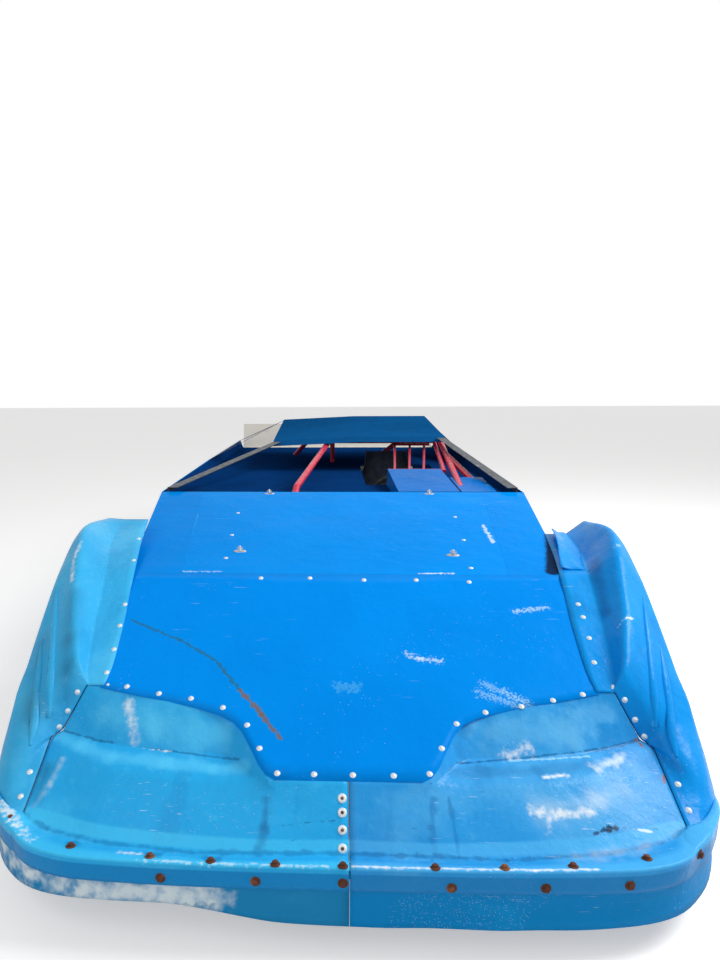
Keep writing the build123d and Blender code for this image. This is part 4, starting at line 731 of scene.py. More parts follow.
# The joint of nose and flare, in the same order.
JOINT = [
    (0.842, 0.492, 0.5485), (0.846, 0.474, 0.542), (0.922, 0.442, 0.402), (0.952, 0.428, 0.391),
    (0.948, 0.196, 0.276), (0.958, 0.132, 0.268), (0.958, 0.136, 0.205),
]
NOSE_RADII = (0.006, 0.005, 0.018, 0.014, 0.009)
NOSE_SPANS = (2, 6, 6, 12, 5, 5)
NOSE_STEPS = (10, 4, 8, 8, 12, 8, 7, 7)
LIP_Z, VALLEY_Z, LEDGE_Z = 0.205, 0.257, 0.272
LAP, SHEET_GAP, JOINT_GAP = 0.04, 0.0023, 0.0006
SKIN_WALL = 0.0035


def nose_rows():
    """Rows of points over one nose half, from the centre seam out to the flare."""
    lines = []
    for x, lip, valley, edge_s, edge_z, shelf_s, shelf_z, fold in NOSE:
        flat = [on_slope(x, fold + LAP, -SHEET_GAP), on_slope(x, fold, -SHEET_GAP)]
        shelf = [at(x, shelf_s, shelf_z), at(x, edge_s, edge_z)]
        lines.append(flat + shelf + [at(x, valley, VALLEY_Z), at(x, lip, LEDGE_Z), at(x, lip, LIP_Z)])
    lines.append([at(*p) for p in NOSE_END])
    lines.append([at(x - JOINT_GAP, s, z) for x, s, z in JOINT])
    return flowing([rounded(line, NOSE_RADII, NOSE_SPANS) for line in lines], NOSE_STEPS)


def nose():
    rows = nose_rows()
    for side in SIDES:
        node = "nose_" + side
        bm = half_sheet(rows, side)
        new_piece("nose_skin_" + side, bm, plastic[node], node, replace=True, wall=SKIN_WALL)


# Flare sections from the joint round to the wheel.
# Columns: x and s of the flange's inner edge and of its fold, then x, s and height of the ridge,
# the shoulder, the middle and the foot of the wall, then x and s of the lip.
FLARE = [
    (0.784, 0.545, 0.862, 0.52, (0.884, 0.508, 0.62), (0.99, 0.44, 0.455), (1.025, 0.335, 0.372),
     (1.042, 0.262, 0.29), 1.046, 0.24),
    (0.792, 0.68, 0.886, 0.64, (0.932, 0.622, 0.7), (1.098, 0.5, 0.47), (1.109, 0.425, 0.38),
     (1.111, 0.362, 0.292), 1.111, 0.352),
    (0.798, 0.75, 0.902, 0.73, (0.968, 0.712, 0.752), (1.107, 0.612, 0.56), (1.111, 0.592, 0.44),
     (1.112, 0.572, 0.33), 1.112, 0.566),
    (0.812, 0.86, 0.918, 0.86, (1.01, 0.86, 0.832), (1.109, 0.792, 0.706), (1.112, 0.772, 0.56),
     (1.113, 0.76, 0.38), 1.113, 0.76),
    (0.822, 0.955, 0.93, 0.955, (1.036, 0.955, 0.888), (1.11, 0.925, 0.8), (1.113, 0.92, 0.6),
     (1.114, 0.915, 0.4), 1.114, 0.915),
    (0.862, 1.155, 0.978, 1.155, (1.082, 1.155, 0.938), (1.113, 1.13, 0.888), (1.115, 1.14, 0.7),
     (1.115, 1.14, 0.45), 1.115, 1.14),
    (0.901, 1.4, 0.992, 1.4, (1.088, 1.425, 0.91), (1.112, 1.45, 0.865), (1.113, 1.45, 0.7),
     (1.112, 1.45, 0.45), 1.112, 1.45),
]
# How far the rear of the right flange stands off its sheet, section by section, and how far it
# leans inwards for each metre of that.
REAR_LIFT = (0.0, 0.0, 0.0, 0.002, 0.012, 0.038, 0.06)
FLARE_RADII = (0.006, 0.03, 0.022, 0.03, 0.03, 0.01)
FLARE_SPANS = (4, 6, 8, 5, 5, 3, 3)
FLARE_STEPS = (6, 8, 6, 7, 7, 10, 11)
FLANGE_LIFT, LIFT_LEAN = 0.004, 0.3
# Side positions and station of the flange at its front end, and heights and tuck of the wall's lip.
FLANGE_FRONT = (0.79, 0.836, 0.474)
LIP_TOP_Z, LIP_FOOT_Z, LIP_TUCK = 0.258, 0.202, 0.004
WHEEL_S, OPENING_HALF, OPENING_TOP, OPENING_CORNER = 1.27, 0.485, 0.765, 0.19
WALL_X = 1.04
# Steps of the opening's round corners, and how far beside them the wall's faces are split.
CORNER_STEPS, CORNER_MARGIN = 12, 0.02


def on_panel(x, s, lift=0.0):
    return on_slope(x, s, FLANGE_LIFT + lift)


def flare_rows(raised):
    """Rows of points over one flare, from the joint with the nose back to the wheel."""
    corner, *rest = [at(*p) for p in JOINT[1:]]
    inner_x, fold_x, s = FLANGE_FRONT
    rows = [rounded([on_panel(inner_x, s), on_panel(fold_x, s), corner] + rest, FLARE_RADII, FLARE_SPANS)]
    for lift, section in zip(REAR_LIFT, FLARE):
        inner_x, inner_s, fold_x, fold_s, *wall, lip_x, lip_s = section
        lift *= raised
        edge = [at(lip_x, lip_s, LIP_TOP_Z), at(lip_x - LIP_TUCK, lip_s, LIP_FOOT_Z)]
        flange = [on_panel(inner_x - LIFT_LEAN * lift, inner_s, lift), on_panel(fold_x, fold_s, lift)]
        rows.append(rounded(flange + [at(*p) for p in wall] + edge, FLARE_RADII, FLARE_SPANS))
    return flowing(rows, FLARE_STEPS)


def outer_wall(bm):
    return [f for f in bm.faces if abs(f.calc_center_median().x) > WALL_X]


def cut_faces(bm, faces, place, normal):
    """Split some faces along a plane."""
    geom = set(faces)
    for face in faces:
        geom.update(face.edges)
        geom.update(face.verts)
    bmesh.ops.bisect_plane(bm, geom=list(geom), plane_co=place, plane_no=normal)


def open_for_wheel(bm):
    """Cut the steered wheel's round-cornered opening through the outer wall."""
    middle = at(0, WHEEL_S, 0).y
    flat, rise = OPENING_HALF - OPENING_CORNER, OPENING_TOP - OPENING_CORNER
    cut_faces(bm, outer_wall(bm), (0, 0, OPENING_TOP), (0, 0, 1))
    for side in (-1, 1):
        cut_faces(bm, outer_wall(bm), (0, middle + side * OPENING_HALF, 0), (0, side, 0))
        centre = Vector((0, middle + side * flat, rise))
        for step in range(1, CORNER_STEPS):
            angle = step * pi / 2 / CORNER_STEPS
            out = Vector((0, side * cos(angle), sin(angle)))
            near = []
            for face in outer_wall(bm):
                away = face.calc_center_median() - centre
                if side * away.y > -CORNER_MARGIN and away.z > -CORNER_MARGIN:
                    near.append(face)
            cut_faces(bm, near, centre + out * OPENING_CORNER, out)
    gone = []
    for face in outer_wall(bm):
        c = face.calc_center_median()
        beside, above = abs(c.y - middle) - flat, c.z - rise
        inside = abs(c.y - middle) < OPENING_HALF and c.z < OPENING_TOP
        beyond = beside > 0 and above > 0 and beside ** 2 + above ** 2 > OPENING_CORNER ** 2
        if inside and not beyond:
            gone.append(face)
    bmesh.ops.delete(bm, geom=gone, context="FACES")


def flares():
    for side in SIDES:
        node = "flare_" + side
        bm = half_sheet(flare_rows(side == "right"), side)
        open_for_wheel(bm)
        new_piece("flare_skin_" + side, bm, plastic[node], node, replace=True, wall=SKIN_WALL)


# The ledge's outer end, over the flare's foot: x, s and height of its back, its crest and its lip.
LEDGE_END = [
    ((0.908, 0.18, 0.258), (0.905, 0.098, 0.266), (0.905, 0.104, 0.206)),
    ((0.945, 0.198, 0.278), (0.95, 0.126, 0.273), (0.95, 0.13, 0.204)),
    ((0.995, 0.214, 0.285), (1.002, 0.168, 0.277), (1.001, 0.172, 0.203)),
    ((1.04, 0.252, 0.29), (1.048, 0.224, 0.277), (1.047, 0.228, 0.203)),
    ((1.086, 0.312, 0.29), (1.092, 0.288, 0.275), (1.091, 0.292, 0.205)),
    ((1.112, 0.372, 0.282), (1.1165, 0.352, 0.266), (1.116, 0.356, 0.212)),
    ((1.112, 0.46, 0.255), (1.114, 0.455, 0.248), (1.114, 0.455, 0.232)),
]
CREST_RADIUS, LEDGE_SPANS, LEDGE_STEPS = (0.01,), (5, 5), (4, 5, 5, 5, 5, 5)
LEDGE_END_WALL = 0.003


def ledge_ends():
    """The nose halves' ledge, carried on round the foot of each flare."""
    lines = [[at(*p) for p in line] for line in LEDGE_END]
    rows = flowing([rounded(line, CREST_RADIUS, LEDGE_SPANS) for line in lines], LEDGE_STEPS)
    for side in SIDES:
        node = "nose_" + side
        new_piece("ledge_end_" + side, half_sheet(rows, side), plastic[node], node, wall=LEDGE_END_WALL)


# Front edge of the flat sheet, from the middle outwards: side position and station.
PANEL_EDGE = [
    (0.0, 0.195), (0.209, 0.195), (0.238, 0.208), (0.262, 0.236), (0.29, 0.283), (0.323, 0.334),
    (0.352, 0.361), (0.4, 0.384), (0.48, 0.406), (0.57, 0.427), (0.66, 0.441), (0.745, 0.458), (0.8, 0.47),
    (0.818, 0.486),
]
# Steps of the sheet's grid rearward and between the edge's points, how it widens rearward of its front
# corners for each metre, the height and speed of the wave of its front edge, and its wall.
PANEL_STEPS, EDGE_STEPS = 16, 4
WIDEN_S, WIDENING = 0.486, 0.0391
EDGE_WAVE, EDGE_WAVE_SPEED, PANEL_WALL = 0.0004, 31, 0.002


def edge_station(x):
    """Station of the sheet's front edge at a side position."""
    for (x0, s0), (x1, s1) in zip(PANEL_EDGE, PANEL_EDGE[1:]):
        if x <= x1 + SAME:
            return s0 + (x - x0) * (s1 - s0) / (x1 - x0)


def nose_panel():
    """Flat sheet with a tongue that reaches forward to the centre of the nose."""
    spots = sorted({x0 + (x1 - x0) * k / EDGE_STEPS
                    for (x0, _), (x1, _) in zip(PANEL_EDGE, PANEL_EDGE[1:]) for k in range(EDGE_STEPS + 1)})
    rows = []
    for x in [-x for x in reversed(spots[1:])] + spots:
        front = edge_station(abs(x))
        row = []
        for k in range(PANEL_STEPS + 1):
            s = front + (SEAM_S - front) * k / PANEL_STEPS
            spread = 1 + max(0.0, s - WIDEN_S) * WIDENING
            drop = EDGE_WAVE * (1 + sin(EDGE_WAVE_SPEED * x)) if k == 0 else 0.0
            row.append(on_slope(x * spread, s, -drop))
        rows.append(row)
    bm = sheet_of(rows)
    bmesh.ops.recalc_face_normals(bm, faces=bm.faces)
    if sum(f.normal.z for f in bm.faces) < 0:
        bmesh.ops.reverse_faces(bm, faces=bm.faces)
    new_piece("nose_sheet", bm, panel_blue(), "nose_panel", replace=True, wall=PANEL_WALL)


# Plan of the strip under the ledge: side position, station, then the height of its lower edge
# on the left and on the right.
VALANCE = [
    (0.0006, 0.019, 0.095, 0.095), (0.1, 0.019, 0.094, 0.097), (0.205, 0.019, 0.097, 0.103),
    (0.3, 0.02, 0.095, 0.118), (0.4, 0.021, 0.093, 0.136), (0.49, 0.024, 0.095, 0.145),
    (0.6, 0.029, 0.094, 0.144), (0.69, 0.036, 0.096, 0.141), (0.79, 0.052, 0.097, 0.136),
    (0.88, 0.084, 0.096, 0.128), (0.952, 0.132, 0.098, 0.121), (1.034, 0.216, 0.105, 0.12),
    (1.106, 0.345, 0.118, 0.128), (1.108, 0.44, 0.138, 0.145), (1.108, 0.54, 0.196, 0.197),
]
VALANCE_TOP, VALANCE_BULGE, VALANCE_WALL = 0.216, 0.006, 0.003
# Steps of the strip's grid downwards, and between the points of its plan.
VALANCE_STEPS, VALANCE_ALONG = 6, 3


def valance():
    """Thin strip under the ledge, in two halves, that hangs unevenly."""
    for column, side in enumerate(SIDES):
        rows = []
        for x, s, *feet in VALANCE:
            row = []
            for k in range(VALANCE_STEPS + 1):
                z = VALANCE_TOP + (feet[column] - VALANCE_TOP) * k / VALANCE_STEPS
                row.append(at(x, s + VALANCE_BULGE * sin(pi * k / VALANCE_STEPS), z))
            rows.append(row)
        bm = half_sheet(flowing(rows, (VALANCE_ALONG,) * (len(rows) - 1)), side)
        name = "valance_" + side
        new_piece(name, bm, plastic[name], "valance", replace=True, wall=VALANCE_WALL)


def surface_tree(*objs):
    """What pieces are set down on: the outer faces of some sheets."""
    points, faces = [], []
    for obj in objs:
        first = len(points)
        points += [v.co.copy() for v in obj.data.vertices]
        faces += [[first + i for i in p.vertices] for p in obj.data.polygons]
    return BVHTree.FromPolygons(points, faces)


def set_down(tree, spots, outward):
    """The nearest places on a surface, each with the way out of it.

    A spot without a height lies on the slope.
    """
    seats = []
    for spot in spots:
        place, normal, _, _ = tree.find_nearest(on_slope(*spot) if len(spot) == 2 else at(*spot))
        seats.append((place, normal if normal.dot(outward) > 0 else -normal))
    return seats


FULL_TURN = {"dvec": (0, 0, 0), "angle": 2 * pi, "use_merge": True, "use_duplicate": False}


def closed_turn(bm, geom, centre, steps):
    """Sweep an outline once round the upright axis."""
    bmesh.ops.spin(bm, geom=geom, cent=centre, axis=(0, 0, 1), steps=steps, **FULL_TURN)
    bmesh.ops.remove_doubles(bm, verts=bm.verts, dist=SAME)
    bmesh.ops.recalc_face_normals(bm, faces=bm.faces)


def turned(profile, steps=14):
    """A round body from its half section."""
    bm = bmesh.new()
    verts = [bm.verts.new((r, 0, h)) for r, h in profile]
    edges = [bm.edges.new(pair) for pair in zip(verts, verts[1:])]
    closed_turn(bm, verts + edges, (0, 0, 0), steps)
    return bm


def scattered(bm, seats):
    """One shape copied to many places, each turned to its surface."""
    shape = mesh_of("shape", bm)
    whole = bmesh.new()
    for place, normal in seats:
        turn = normal.to_track_quat("Z", "Y").to_matrix().to_4x4()
        put(whole, shape, Matrix.Translation(place) @ turn)
    return whole


def put(whole, shape, matrix):
    """Add a copy of a mesh at a place."""
    first = len(whole.verts)
    whole.from_mesh(shape)
    whole.verts.ensure_lookup_table()
    bmesh.ops.transform(whole, matrix=matrix, verts=whole.verts[first:])


# Half sections, each as radius and height over the surface.
RIVET = [
    (0, 0.004), (0.003, 0.0036), (0.0048, 0.0022), (0.0055, 0.0012), (0.0085, 0.001), (0.0092, 0.0),
    (0.0092, -0.001),
]
WASHER = [(0.0045, 0.0034), (0.008, 0.0032), (0.012, 0.0022), (0.013, 0.0006), (0.013, -0.001)]
SCREW = [(0, 0.0062), (0.0026, 0.0058), (0.0046, 0.004), (0.005, 0.0015), (0.005, -0.001)]
BOLT_WASHER = [(0.006, 0.0028), (0.0125, 0.0024), (0.0138, 0.001), (0.0138, -0.002)]
BOLT_HEAD = [(0, 0.01), (0.0062, 0.01), (0.0088, 0.008), (0.0088, 0.001)]

# Side position and station of each fastener, and its height where it isn't on the slope.
PANEL_RIVETS = [
    (-0.715, 0.474), (-0.604, 0.451), (-0.497, 0.436), (-0.39, 0.407), (-0.307, 0.352), (-0.262, 0.282),
    (-0.204, 0.212), (-0.098, 0.211), (0.013, 0.211), (0.129, 0.211), (0.232, 0.218), (0.277, 0.291),
    (0.333, 0.366), (0.428, 0.404), (0.543, 0.425), (0.647, 0.447), (0.746, 0.468), (-0.321, 0.932),
    (-0.132, 0.934), (0.075, 0.926), (0.274, 0.928), (0.473, 0.92),
]
BONNET_RIVETS = [
    (-0.498, 1.378), (-0.484, 1.109), (-0.513, 1.688), (0.53, 1.328), (0.5, 1.021), (0.546, 1.637),
]
FLANGE_RIVETS_RIGHT = [
    (-0.814, 0.799), (-0.806, 0.706), (-0.798, 0.609), (-0.796, 0.521), (-0.78, 0.48), (-0.84, 1.02),
    (-0.872, 1.21),
]
FLANGE_RIVETS_LEFT = [
    (0.846, 0.817), (0.845, 0.761), (0.836, 0.674), (0.82, 0.58), (0.815, 0.5), (0.85, 0.492),
]
JOINT_RIVETS = [
    (0.878, 0.474, 0.52), (0.908, 0.46, 0.462), (0.936, 0.45, 0.412), (0.975, 0.395, 0.372),
    (0.978, 0.318, 0.325), (0.976, 0.252, 0.285),
]
CENTRE_WASHERS = [
    (-0.018, 0.166, 0.365), (-0.018, 0.142, 0.338), (-0.018, 0.114, 0.305), (-0.018, 0.086, 0.27),
]
LEDGE_BOLTS = [
    (-0.978, 0.18), (-0.762, 0.08), (-0.533, 0.044), (-0.367, 0.03), (-0.195, 0.022), (-0.018, 0.02),
    (0.222, 0.024), (0.402, 0.03), (0.582, 0.044), (0.788, 0.084),
]
LIP_BOLTS = [
    (-0.499, 0.02, 0.226), (-0.247, 0.004, 0.227), (-0.018, 0.0, 0.228), (0.263, 0.004, 0.222),
    (0.505, 0.02, 0.224), (0.723, 0.032, 0.228), (0.955, 0.115, 0.25),
]
LEDGE_BOLT_Z = 0.27
# Rough ways out of the surfaces that they sit on.
UP, AHEAD = Vector((0, -0.2, 1)), Vector((0, -1, 0.6))
OUT_LEFT, OUT_RIGHT = Vector((1, -0.5, 0.5)), Vector((-1, -0.5, 0.5))


def fasteners():
    """Rivets, washers and bolts of the nose, the flat sheets and the flanges."""
    white = worn_metal("rivet_white", "DDE4E8", "9AA2A8", 0.35, 0.2, 0.62)
    rusty = worn_metal("rust_head", "5A3120", "8C5A3A", 0.8, 0.1, 0.5)
    nodes, objects = frame["nodes"], bpy.data.objects
    sheet = surface_tree(objects["nose_sheet"], nodes["bonnet"], nodes["fender_tops"])
    kinds = ("nose_skin_", "flare_skin_", "ledge_end_")
    skin = surface_tree(*(objects[kind + side] for kind in kinds for side in SIDES))
    rivets = {
        "nose_panel": set_down(sheet, PANEL_RIVETS, UP),
        "bonnet": set_down(sheet, BONNET_RIVETS, UP),
        "flare_left": set_down(skin, FLANGE_RIVETS_LEFT, UP) + set_down(skin, JOINT_RIVETS, OUT_LEFT),
        "flare_right": (set_down(skin, FLANGE_RIVETS_RIGHT, UP)
                        + set_down(skin, other_side(JOINT_RIVETS), OUT_RIGHT)),
    }
    for name, seats in rivets.items():
        new_piece("rivets_" + name, scattered(turned(RIVET), seats), white, name)
    seats = set_down(skin, CENTRE_WASHERS, AHEAD)
    new_piece("centre_washers", scattered(turned(WASHER), seats), white, "nose_right")
    new_piece("centre_screws", scattered(turned(SCREW, steps=10), seats), rusty, "nose_right")
    seats = set_down(skin, [(x, s, LEDGE_BOLT_Z) for x, s in LEDGE_BOLTS], UP)
    seats += set_down(skin, LIP_BOLTS, AHEAD)
    new_piece("bolt_washers", scattered(turned(BOLT_WASHER), seats), rusty, "nose_right")
    new_piece("bolt_heads", scattered(turned(BOLT_HEAD, steps=6), seats), rusty, "nose_right", smooth=False)


# Half width and height of a bead, how deep its edges sit in the wall, its share of both at its ends,
# and the steps across it and between its points.
BEAD_HALF, BEAD_RISE, BEAD_SINK, BEAD_END = 0.014, 0.009, 0.0005, 0.35
BEAD_ACROSS, BEAD_ALONG = 8, 5


def bead(spots):
    """A raised bead through some places on a surface."""
    rows = []
    last = len(spots) - 1
    for i, (place, normal) in enumerate(spots):
        ahead = spots[min(i + 1, last)][0] - spots[max(i - 1, 0)][0]
        across = ahead.cross(normal).normalized()
        size = BEAD_END if i in (0, last) else 1.0
        row = []
        for k in range(BEAD_ACROSS + 1):
            angle = k * pi / BEAD_ACROSS
            lift = BEAD_RISE * size * sin(angle) - BEAD_SINK
            row.append(place + across * BEAD_HALF * size * cos(angle) + normal * lift)
        rows.append(row)
    bm = sheet_of(flowing(rows, (BEAD_ALONG,) * last))
    bmesh.ops.recalc_face_normals(bm, faces=bm.faces)
    return mesh_of("bead", bm)


def flare_beads():
    for side, sign in zip(SIDES, (1, -1)):
        tree = surface_tree(bpy.data.objects["flare_skin_" + side])
        outward = Vector((sign, -1, 0.5))
        whole = bmesh.new()
        for line in BEADS:
            spots = [(sign * x, s, z) for x, s, z in line]
            whole.from_mesh(bead(set_down(tree, spots, outward)))
        new_piece("beads_" + side, whole, plastic["flare_" + side], "flare_" + side)


# The torn flange: station, side positions of its inner and outer edge, and how far its inner edge curls up.
TORN_FLANGE = [
    (0.99, 0.838, 0.934, 0.01), (1.08, 0.858, 0.952, 0.024), (1.2, 0.89, 0.982, 0.032),
    (1.33, 0.916, 0.988, 0.028), (1.398, 0.928, 0.992, 0.02),
]
TORN_LIFT, TORN_WAVE, TORN_WALL = 0.006, 0.002, 0.003
# Steps of the flange's grid across, and along between its sections.
TORN_STEPS, TORN_ALONG = 8, (4, 5, 5, 4)
# How fast the wave runs across the flange and along it.
WAVE_ACROSS, WAVE_ALONG = 9, 14


def lifted_flange():
    """The rear of the left flange, torn off its rivets and curled up."""
    rows = []
    for s, inner, outer, lift in TORN_FLANGE:
        line = []
        for k in range(TORN_STEPS + 1):
            u = k / TORN_STEPS
            curl = lift * (1 - u) ** 2 + TORN_WAVE * sin(WAVE_ACROSS * u + WAVE_ALONG * s)
            line.append(on_slope(inner + (outer - inner) * u, s, TORN_LIFT + curl))
        rows.append(line)
    bm = sheet_of(flowing(rows, TORN_ALONG))
    bmesh.ops.recalc_face_normals(bm, faces=bm.faces)
    new_piece("flange_lifted", bm, plastic["flare_left"], "flare_left", wall=TORN_WALL)


HOOD_PINS = [(-0.436, 1.187), (0.453, 1.155), (-0.387, 2.02), (0.475, 2.02)]
PIN_PLATE = [(0, 0.0016), (0.017, 0.0016), (0.02, 0.0006), (0.02, -0.0005)]
PIN_POST = [
    (0, 0.024), (0.0036, 0.0235), (0.005, 0.021), (0.005, 0.001), (0.0085, 0.001), (0.0085, -0.0005),
]
# Stretch of the round plate into an oval, and the ring clip's wire, radius and height.
PLATE_STRETCH = (1.35, 0.75, 1)
CLIP_WIRE, CLIP_R, CLIP_Z = 0.0012, 0.012, 0.014


def ring_clip():
    bm = bmesh.new()
    wire = bmesh.ops.create_circle(bm, segments=8, radius=CLIP_WIRE)["verts"]
    upright = Matrix.Translation((CLIP_R, 0, CLIP_Z)) @ Matrix.Rotation(pi / 2, 4, "X")
    bmesh.ops.transform(bm, matrix=upright, verts=wire)
    closed_turn(bm, bm.edges[:] + bm.verts[:], (0, 0, CLIP_Z), steps=20)
    return bm


def hood_pins():
    """Oval scuff plates with a pin and its ring clip."""
    steel = worn_metal("pin_steel", "B4B6B8", "5C5044", 0.35, 0.8)
    seats = set_down(surface_tree(frame["nodes"]["bonnet"]), HOOD_PINS, UP)
    plate = turned(PIN_PLATE, steps=24)
    bmesh.ops.scale(plate, vec=PLATE_STRETCH, verts=plate.verts)
    shapes = {"pin_plates": plate, "pin_posts": turned(PIN_POST, steps=12), "pin_clips": ring_clip()}
    for name, shape in shapes.items():
        new_piece(name, scattered(shape, seats), steel, "bonnet")


# One side wall of a tyre, from the bead up to the tread's edge: side position and radius.
TYRE_WALL = [
    (-0.156, 0.192), (-0.158, 0.206), (-0.166, 0.216), (-0.17, 0.222), (-0.172, 0.236), (-0.177, 0.252),
    (-0.179, 0.275), (-0.178, 0.296), (-0.175, 0.306), (-0.174, 0.312),
]


def tyre_rubber():
    s = Surface("tyre_rubber", rgb("1B1B1C"), 0.85)
    s.tint("3A342E", 0.6, "patches", Scale=9.0, Low=0.48, High=0.62)
    s.tint("5E5142", 1.0, "low_dirt", Top=0.9, Amount=0.35)
    s.bump(0.0006, "patches", Scale=90.0, Low=0.3, High=0.7)
    return s.done()


# Depth of the tread, side positions of the carcass's shoulder with their depths under the tread's
# surface, side positions of its crown, and its bead seat.
TREAD_DEPTH = 0.012
SHOULDER = [(-0.172, 0.038), (-0.164, 0.024), (-0.15, 0.015)]
CROWN_X = (-0.13, -0.06, 0.0, 0.06, 0.13)
BEAD_SEAT = [(0.15, 0.203), (0.08, 0.203), (-0.08, 0.203), (-0.15, 0.203)]
# The blocks: size, bevel, rows across, their pitch, blocks round the tyre, and how far the shoulder rows
# and the rest sit under the tread's surface.
BLOCK, BLOCK_BEVEL = (0.0235, 0.04, 0.02), 0.0018
BLOCK_ROWS, ROW_PITCH, BLOCKS_ROUND = 11, 0.0275, 44
SHOULDER_DROP, BLOCK_DROP = 0.0035, 0.0005
ROUND_STEPS, CREASE_ANGLE = 72, radians(32)


def wheel_centre(name):
    """Middle and radius of a tyre."""
    low, high = (Vector(c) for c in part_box("tyre_" + name))
    return (low + high) / 2, (high.z - low.z) / 2


def carcass(radius):
    """Tyre without its tread blocks, turned about the X axis."""
    base = radius - TREAD_DEPTH
    wall = TYRE_WALL + [(x, radius - depth) for x, depth in SHOULDER]
    other_wall = [(-x, r) for x, r in reversed(wall)]
    section = wall + [(x, base) for x in CROWN_X] + other_wall + BEAD_SEAT + [wall[0]]
    bm = turned([(r, x) for x, r in section], ROUND_STEPS)
    bmesh.ops.rotate(bm, cent=(0, 0, 0), matrix=Matrix.Rotation(pi / 2, 3, "Y"), verts=bm.verts)
    return mesh_of("carcass", bm)


def tread_block():
    bm = bmesh.new()
    bmesh.ops.create_cube(bm, size=1)
    bmesh.ops.scale(bm, vec=BLOCK, verts=bm.verts)
    top = [e for e in bm.edges if all(v.co.z > 0 for v in e.verts)]
    bmesh.ops.bevel(bm, geom=top, offset=BLOCK_BEVEL, offset_type="OFFSET", affect="EDGES", segments=1,
                    profile=0.5, material=-1)
    return mesh_of("block", bm)


def tyre(name, rubber):
    """Tyre with ringed side walls and a cut block tread."""
    centre, radius = wheel_centre(name)
    whole = bmesh.new()
    put(whole, carcass(radius), Matrix.Identity(4))
    block = tread_block()
    for row in range(BLOCK_ROWS):
        x = (row - BLOCK_ROWS // 2) * ROW_PITCH
        drop = SHOULDER_DROP if row in (0, BLOCK_ROWS - 1) else BLOCK_DROP
        for step in range(BLOCKS_ROUND):
            spin = Matrix.Rotation((step + 0.5 * (row % 2)) * 2 * pi / BLOCKS_ROUND, 4, "X")
            put(whole, block, spin @ Matrix.Translation((x, 0, radius - BLOCK[2] / 2 - drop)))
    bmesh.ops.translate(whole, vec=centre, verts=whole.verts)
    obj = new_piece("tread_" + name, whole, rubber, "tyre_" + name, body="wheel_" + name, replace=True)
    obj.data.set_sharp_from_angle(angle=CREASE_ANGLE)


NUT = [(0.0075, 0.02), (0.01, 0.02), (0.0125, 0.017), (0.0135, 0.0), (0.0165, 0.0), (0.0165, -0.003)]
NUTS, NUT_CIRCLE_R, NUT_SEAT_X = 5, 0.1302, 0.034


def wheels():
    """Tyres and wheel nuts."""
    rubber = tyre_rubber()
    steel = worn_metal("nut_steel", "8E8C88", "5E4A3A", 0.4, 0.8)
    for name in WHEELS:
        tyre(name, rubber)
        centre, _ = wheel_centre(name)
        side = 1 if centre.x > 0 else -1
        seats = []
        for k in range(NUTS):
            a = pi / 2 + k * 2 * pi / NUTS
            seat = Vector((-side * NUT_SEAT_X, NUT_CIRCLE_R * cos(a), NUT_CIRCLE_R * sin(a)))
            seats.append((centre + seat, Vector((side, 0, 0))))
        nuts = scattered(turned(NUT, steps=6), seats)
        new_piece("nuts_" + name, nuts, steel, "rim_" + name, body="wheel_" + name, smooth=False)


# Rivets of the sides and the tail: side position, stations of the upright rows, then start, pitch and
# count of the rivets along each kind of row.
SIDE_X, TAIL_S = 1.06, 5.06
SEAMS_S = (1.44, 3.425, 3.475)
SEAM_ROW = (0.18, 0.115, 7)
DOOR_ROW, DOOR_ROW_Z = (1.56, 0.16, 12), (0.135, 0.86)
QUARTER_ROW, QUARTER_ROW_Z = (4.36, 0.12, 6), 0.9
TAIL_ROW, TAIL_ROW_Z = (-0.9, 0.15, 13), (0.92, 0.59)


def row_of(start, pitch, count):
    return [start + pitch * k for k in range(count)]


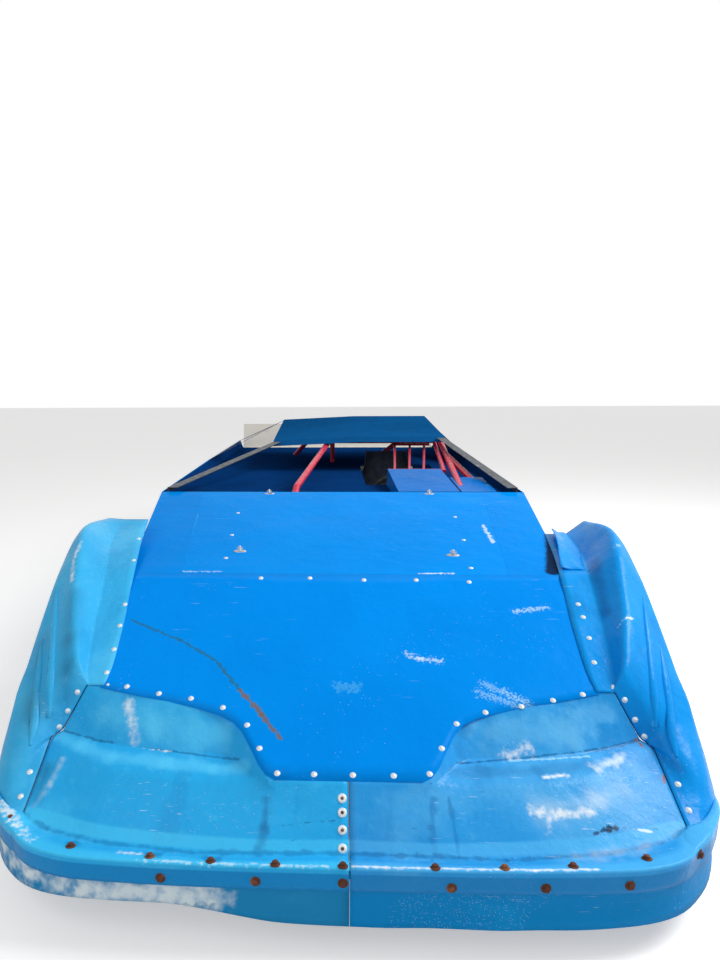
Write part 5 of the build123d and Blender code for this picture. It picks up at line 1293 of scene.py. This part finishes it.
def side_rivets():
    """Rivet rows along the seams of the door and quarter sheets and of the tail."""
    nodes = frame["nodes"]
    tree = surface_tree(nodes["door_sides"], nodes["quarter_sides"], nodes["tail_panel"])
    silver = worn_metal("rivet_silver", "C2C6CA", "7C8288", 0.35, 0.6, 0.62)
    seats = []
    for side in (-1, 1):
        spots = [(side * SIDE_X, s, z) for s in SEAMS_S for z in row_of(*SEAM_ROW)]
        spots += [(side * SIDE_X, s, z) for s in row_of(*DOOR_ROW) for z in DOOR_ROW_Z]
        spots += [(side * SIDE_X, s, QUARTER_ROW_Z) for s in row_of(*QUARTER_ROW)]
        seats += set_down(tree, spots, Vector((side, 0, 0)))
    seats += set_down(tree, [(x, TAIL_S, z) for x in row_of(*TAIL_ROW) for z in TAIL_ROW_Z],
                      Vector((0, 1, 0)))
    new_piece("rivets_sides", scattered(turned(RIVET, steps=10), seats), silver, "door_sides")


def floor():
    """Plain pale floor that looks brighter than it lights."""
    bm = bmesh.new()
    bmesh.ops.create_grid(bm, x_segments=1, y_segments=1, size=FLOOR_HALF)
    mesh = mesh_of("floor", bm)
    obj = linked("floor", mesh)
    surface = Surface("floor_pale", (0.88, 0.88, 0.875, 1), 0.9, Emission_Color=(1, 1, 1, 1))
    seen = add(surface.tree, "LightPath").outputs["Is Camera Ray"]
    glow = calc(surface.tree, "MULTIPLY", seen, FLOOR_GLOW)
    surface.tree.links.new(glow, surface.bsdf.inputs["Emission Strength"])
    mesh.materials.append(surface.done())


SCRAPED_FOOT = [
    (-1.02, 0.22, 0.17), (-0.88, 0.116, 0.165), (-0.7, 0.056, 0.165), (-0.48, 0.03, 0.165),
    (-0.36, 0.02, 0.17),
]

plastic = {
    "nose_left": nose_left_plastic(),
    "nose_right": nose_right_plastic(),
    "flare_left": flare_left_plastic(),
    "flare_right": flare_right_plastic(),
    "valance_left": valance_plastic("valance_plastic_left", "0688CC", "109EE0"),
    "valance_right": valance_plastic("valance_plastic_right", "1A88C0", "3FA0D0", *SCRAPED_FOOT),
}
camera()
studio()
paint()
nose()
flares()
ledge_ends()
nose_panel()
valance()
fasteners()
flare_beads()
lifted_flange()
hood_pins()
wheels()
side_rivets()
floor()
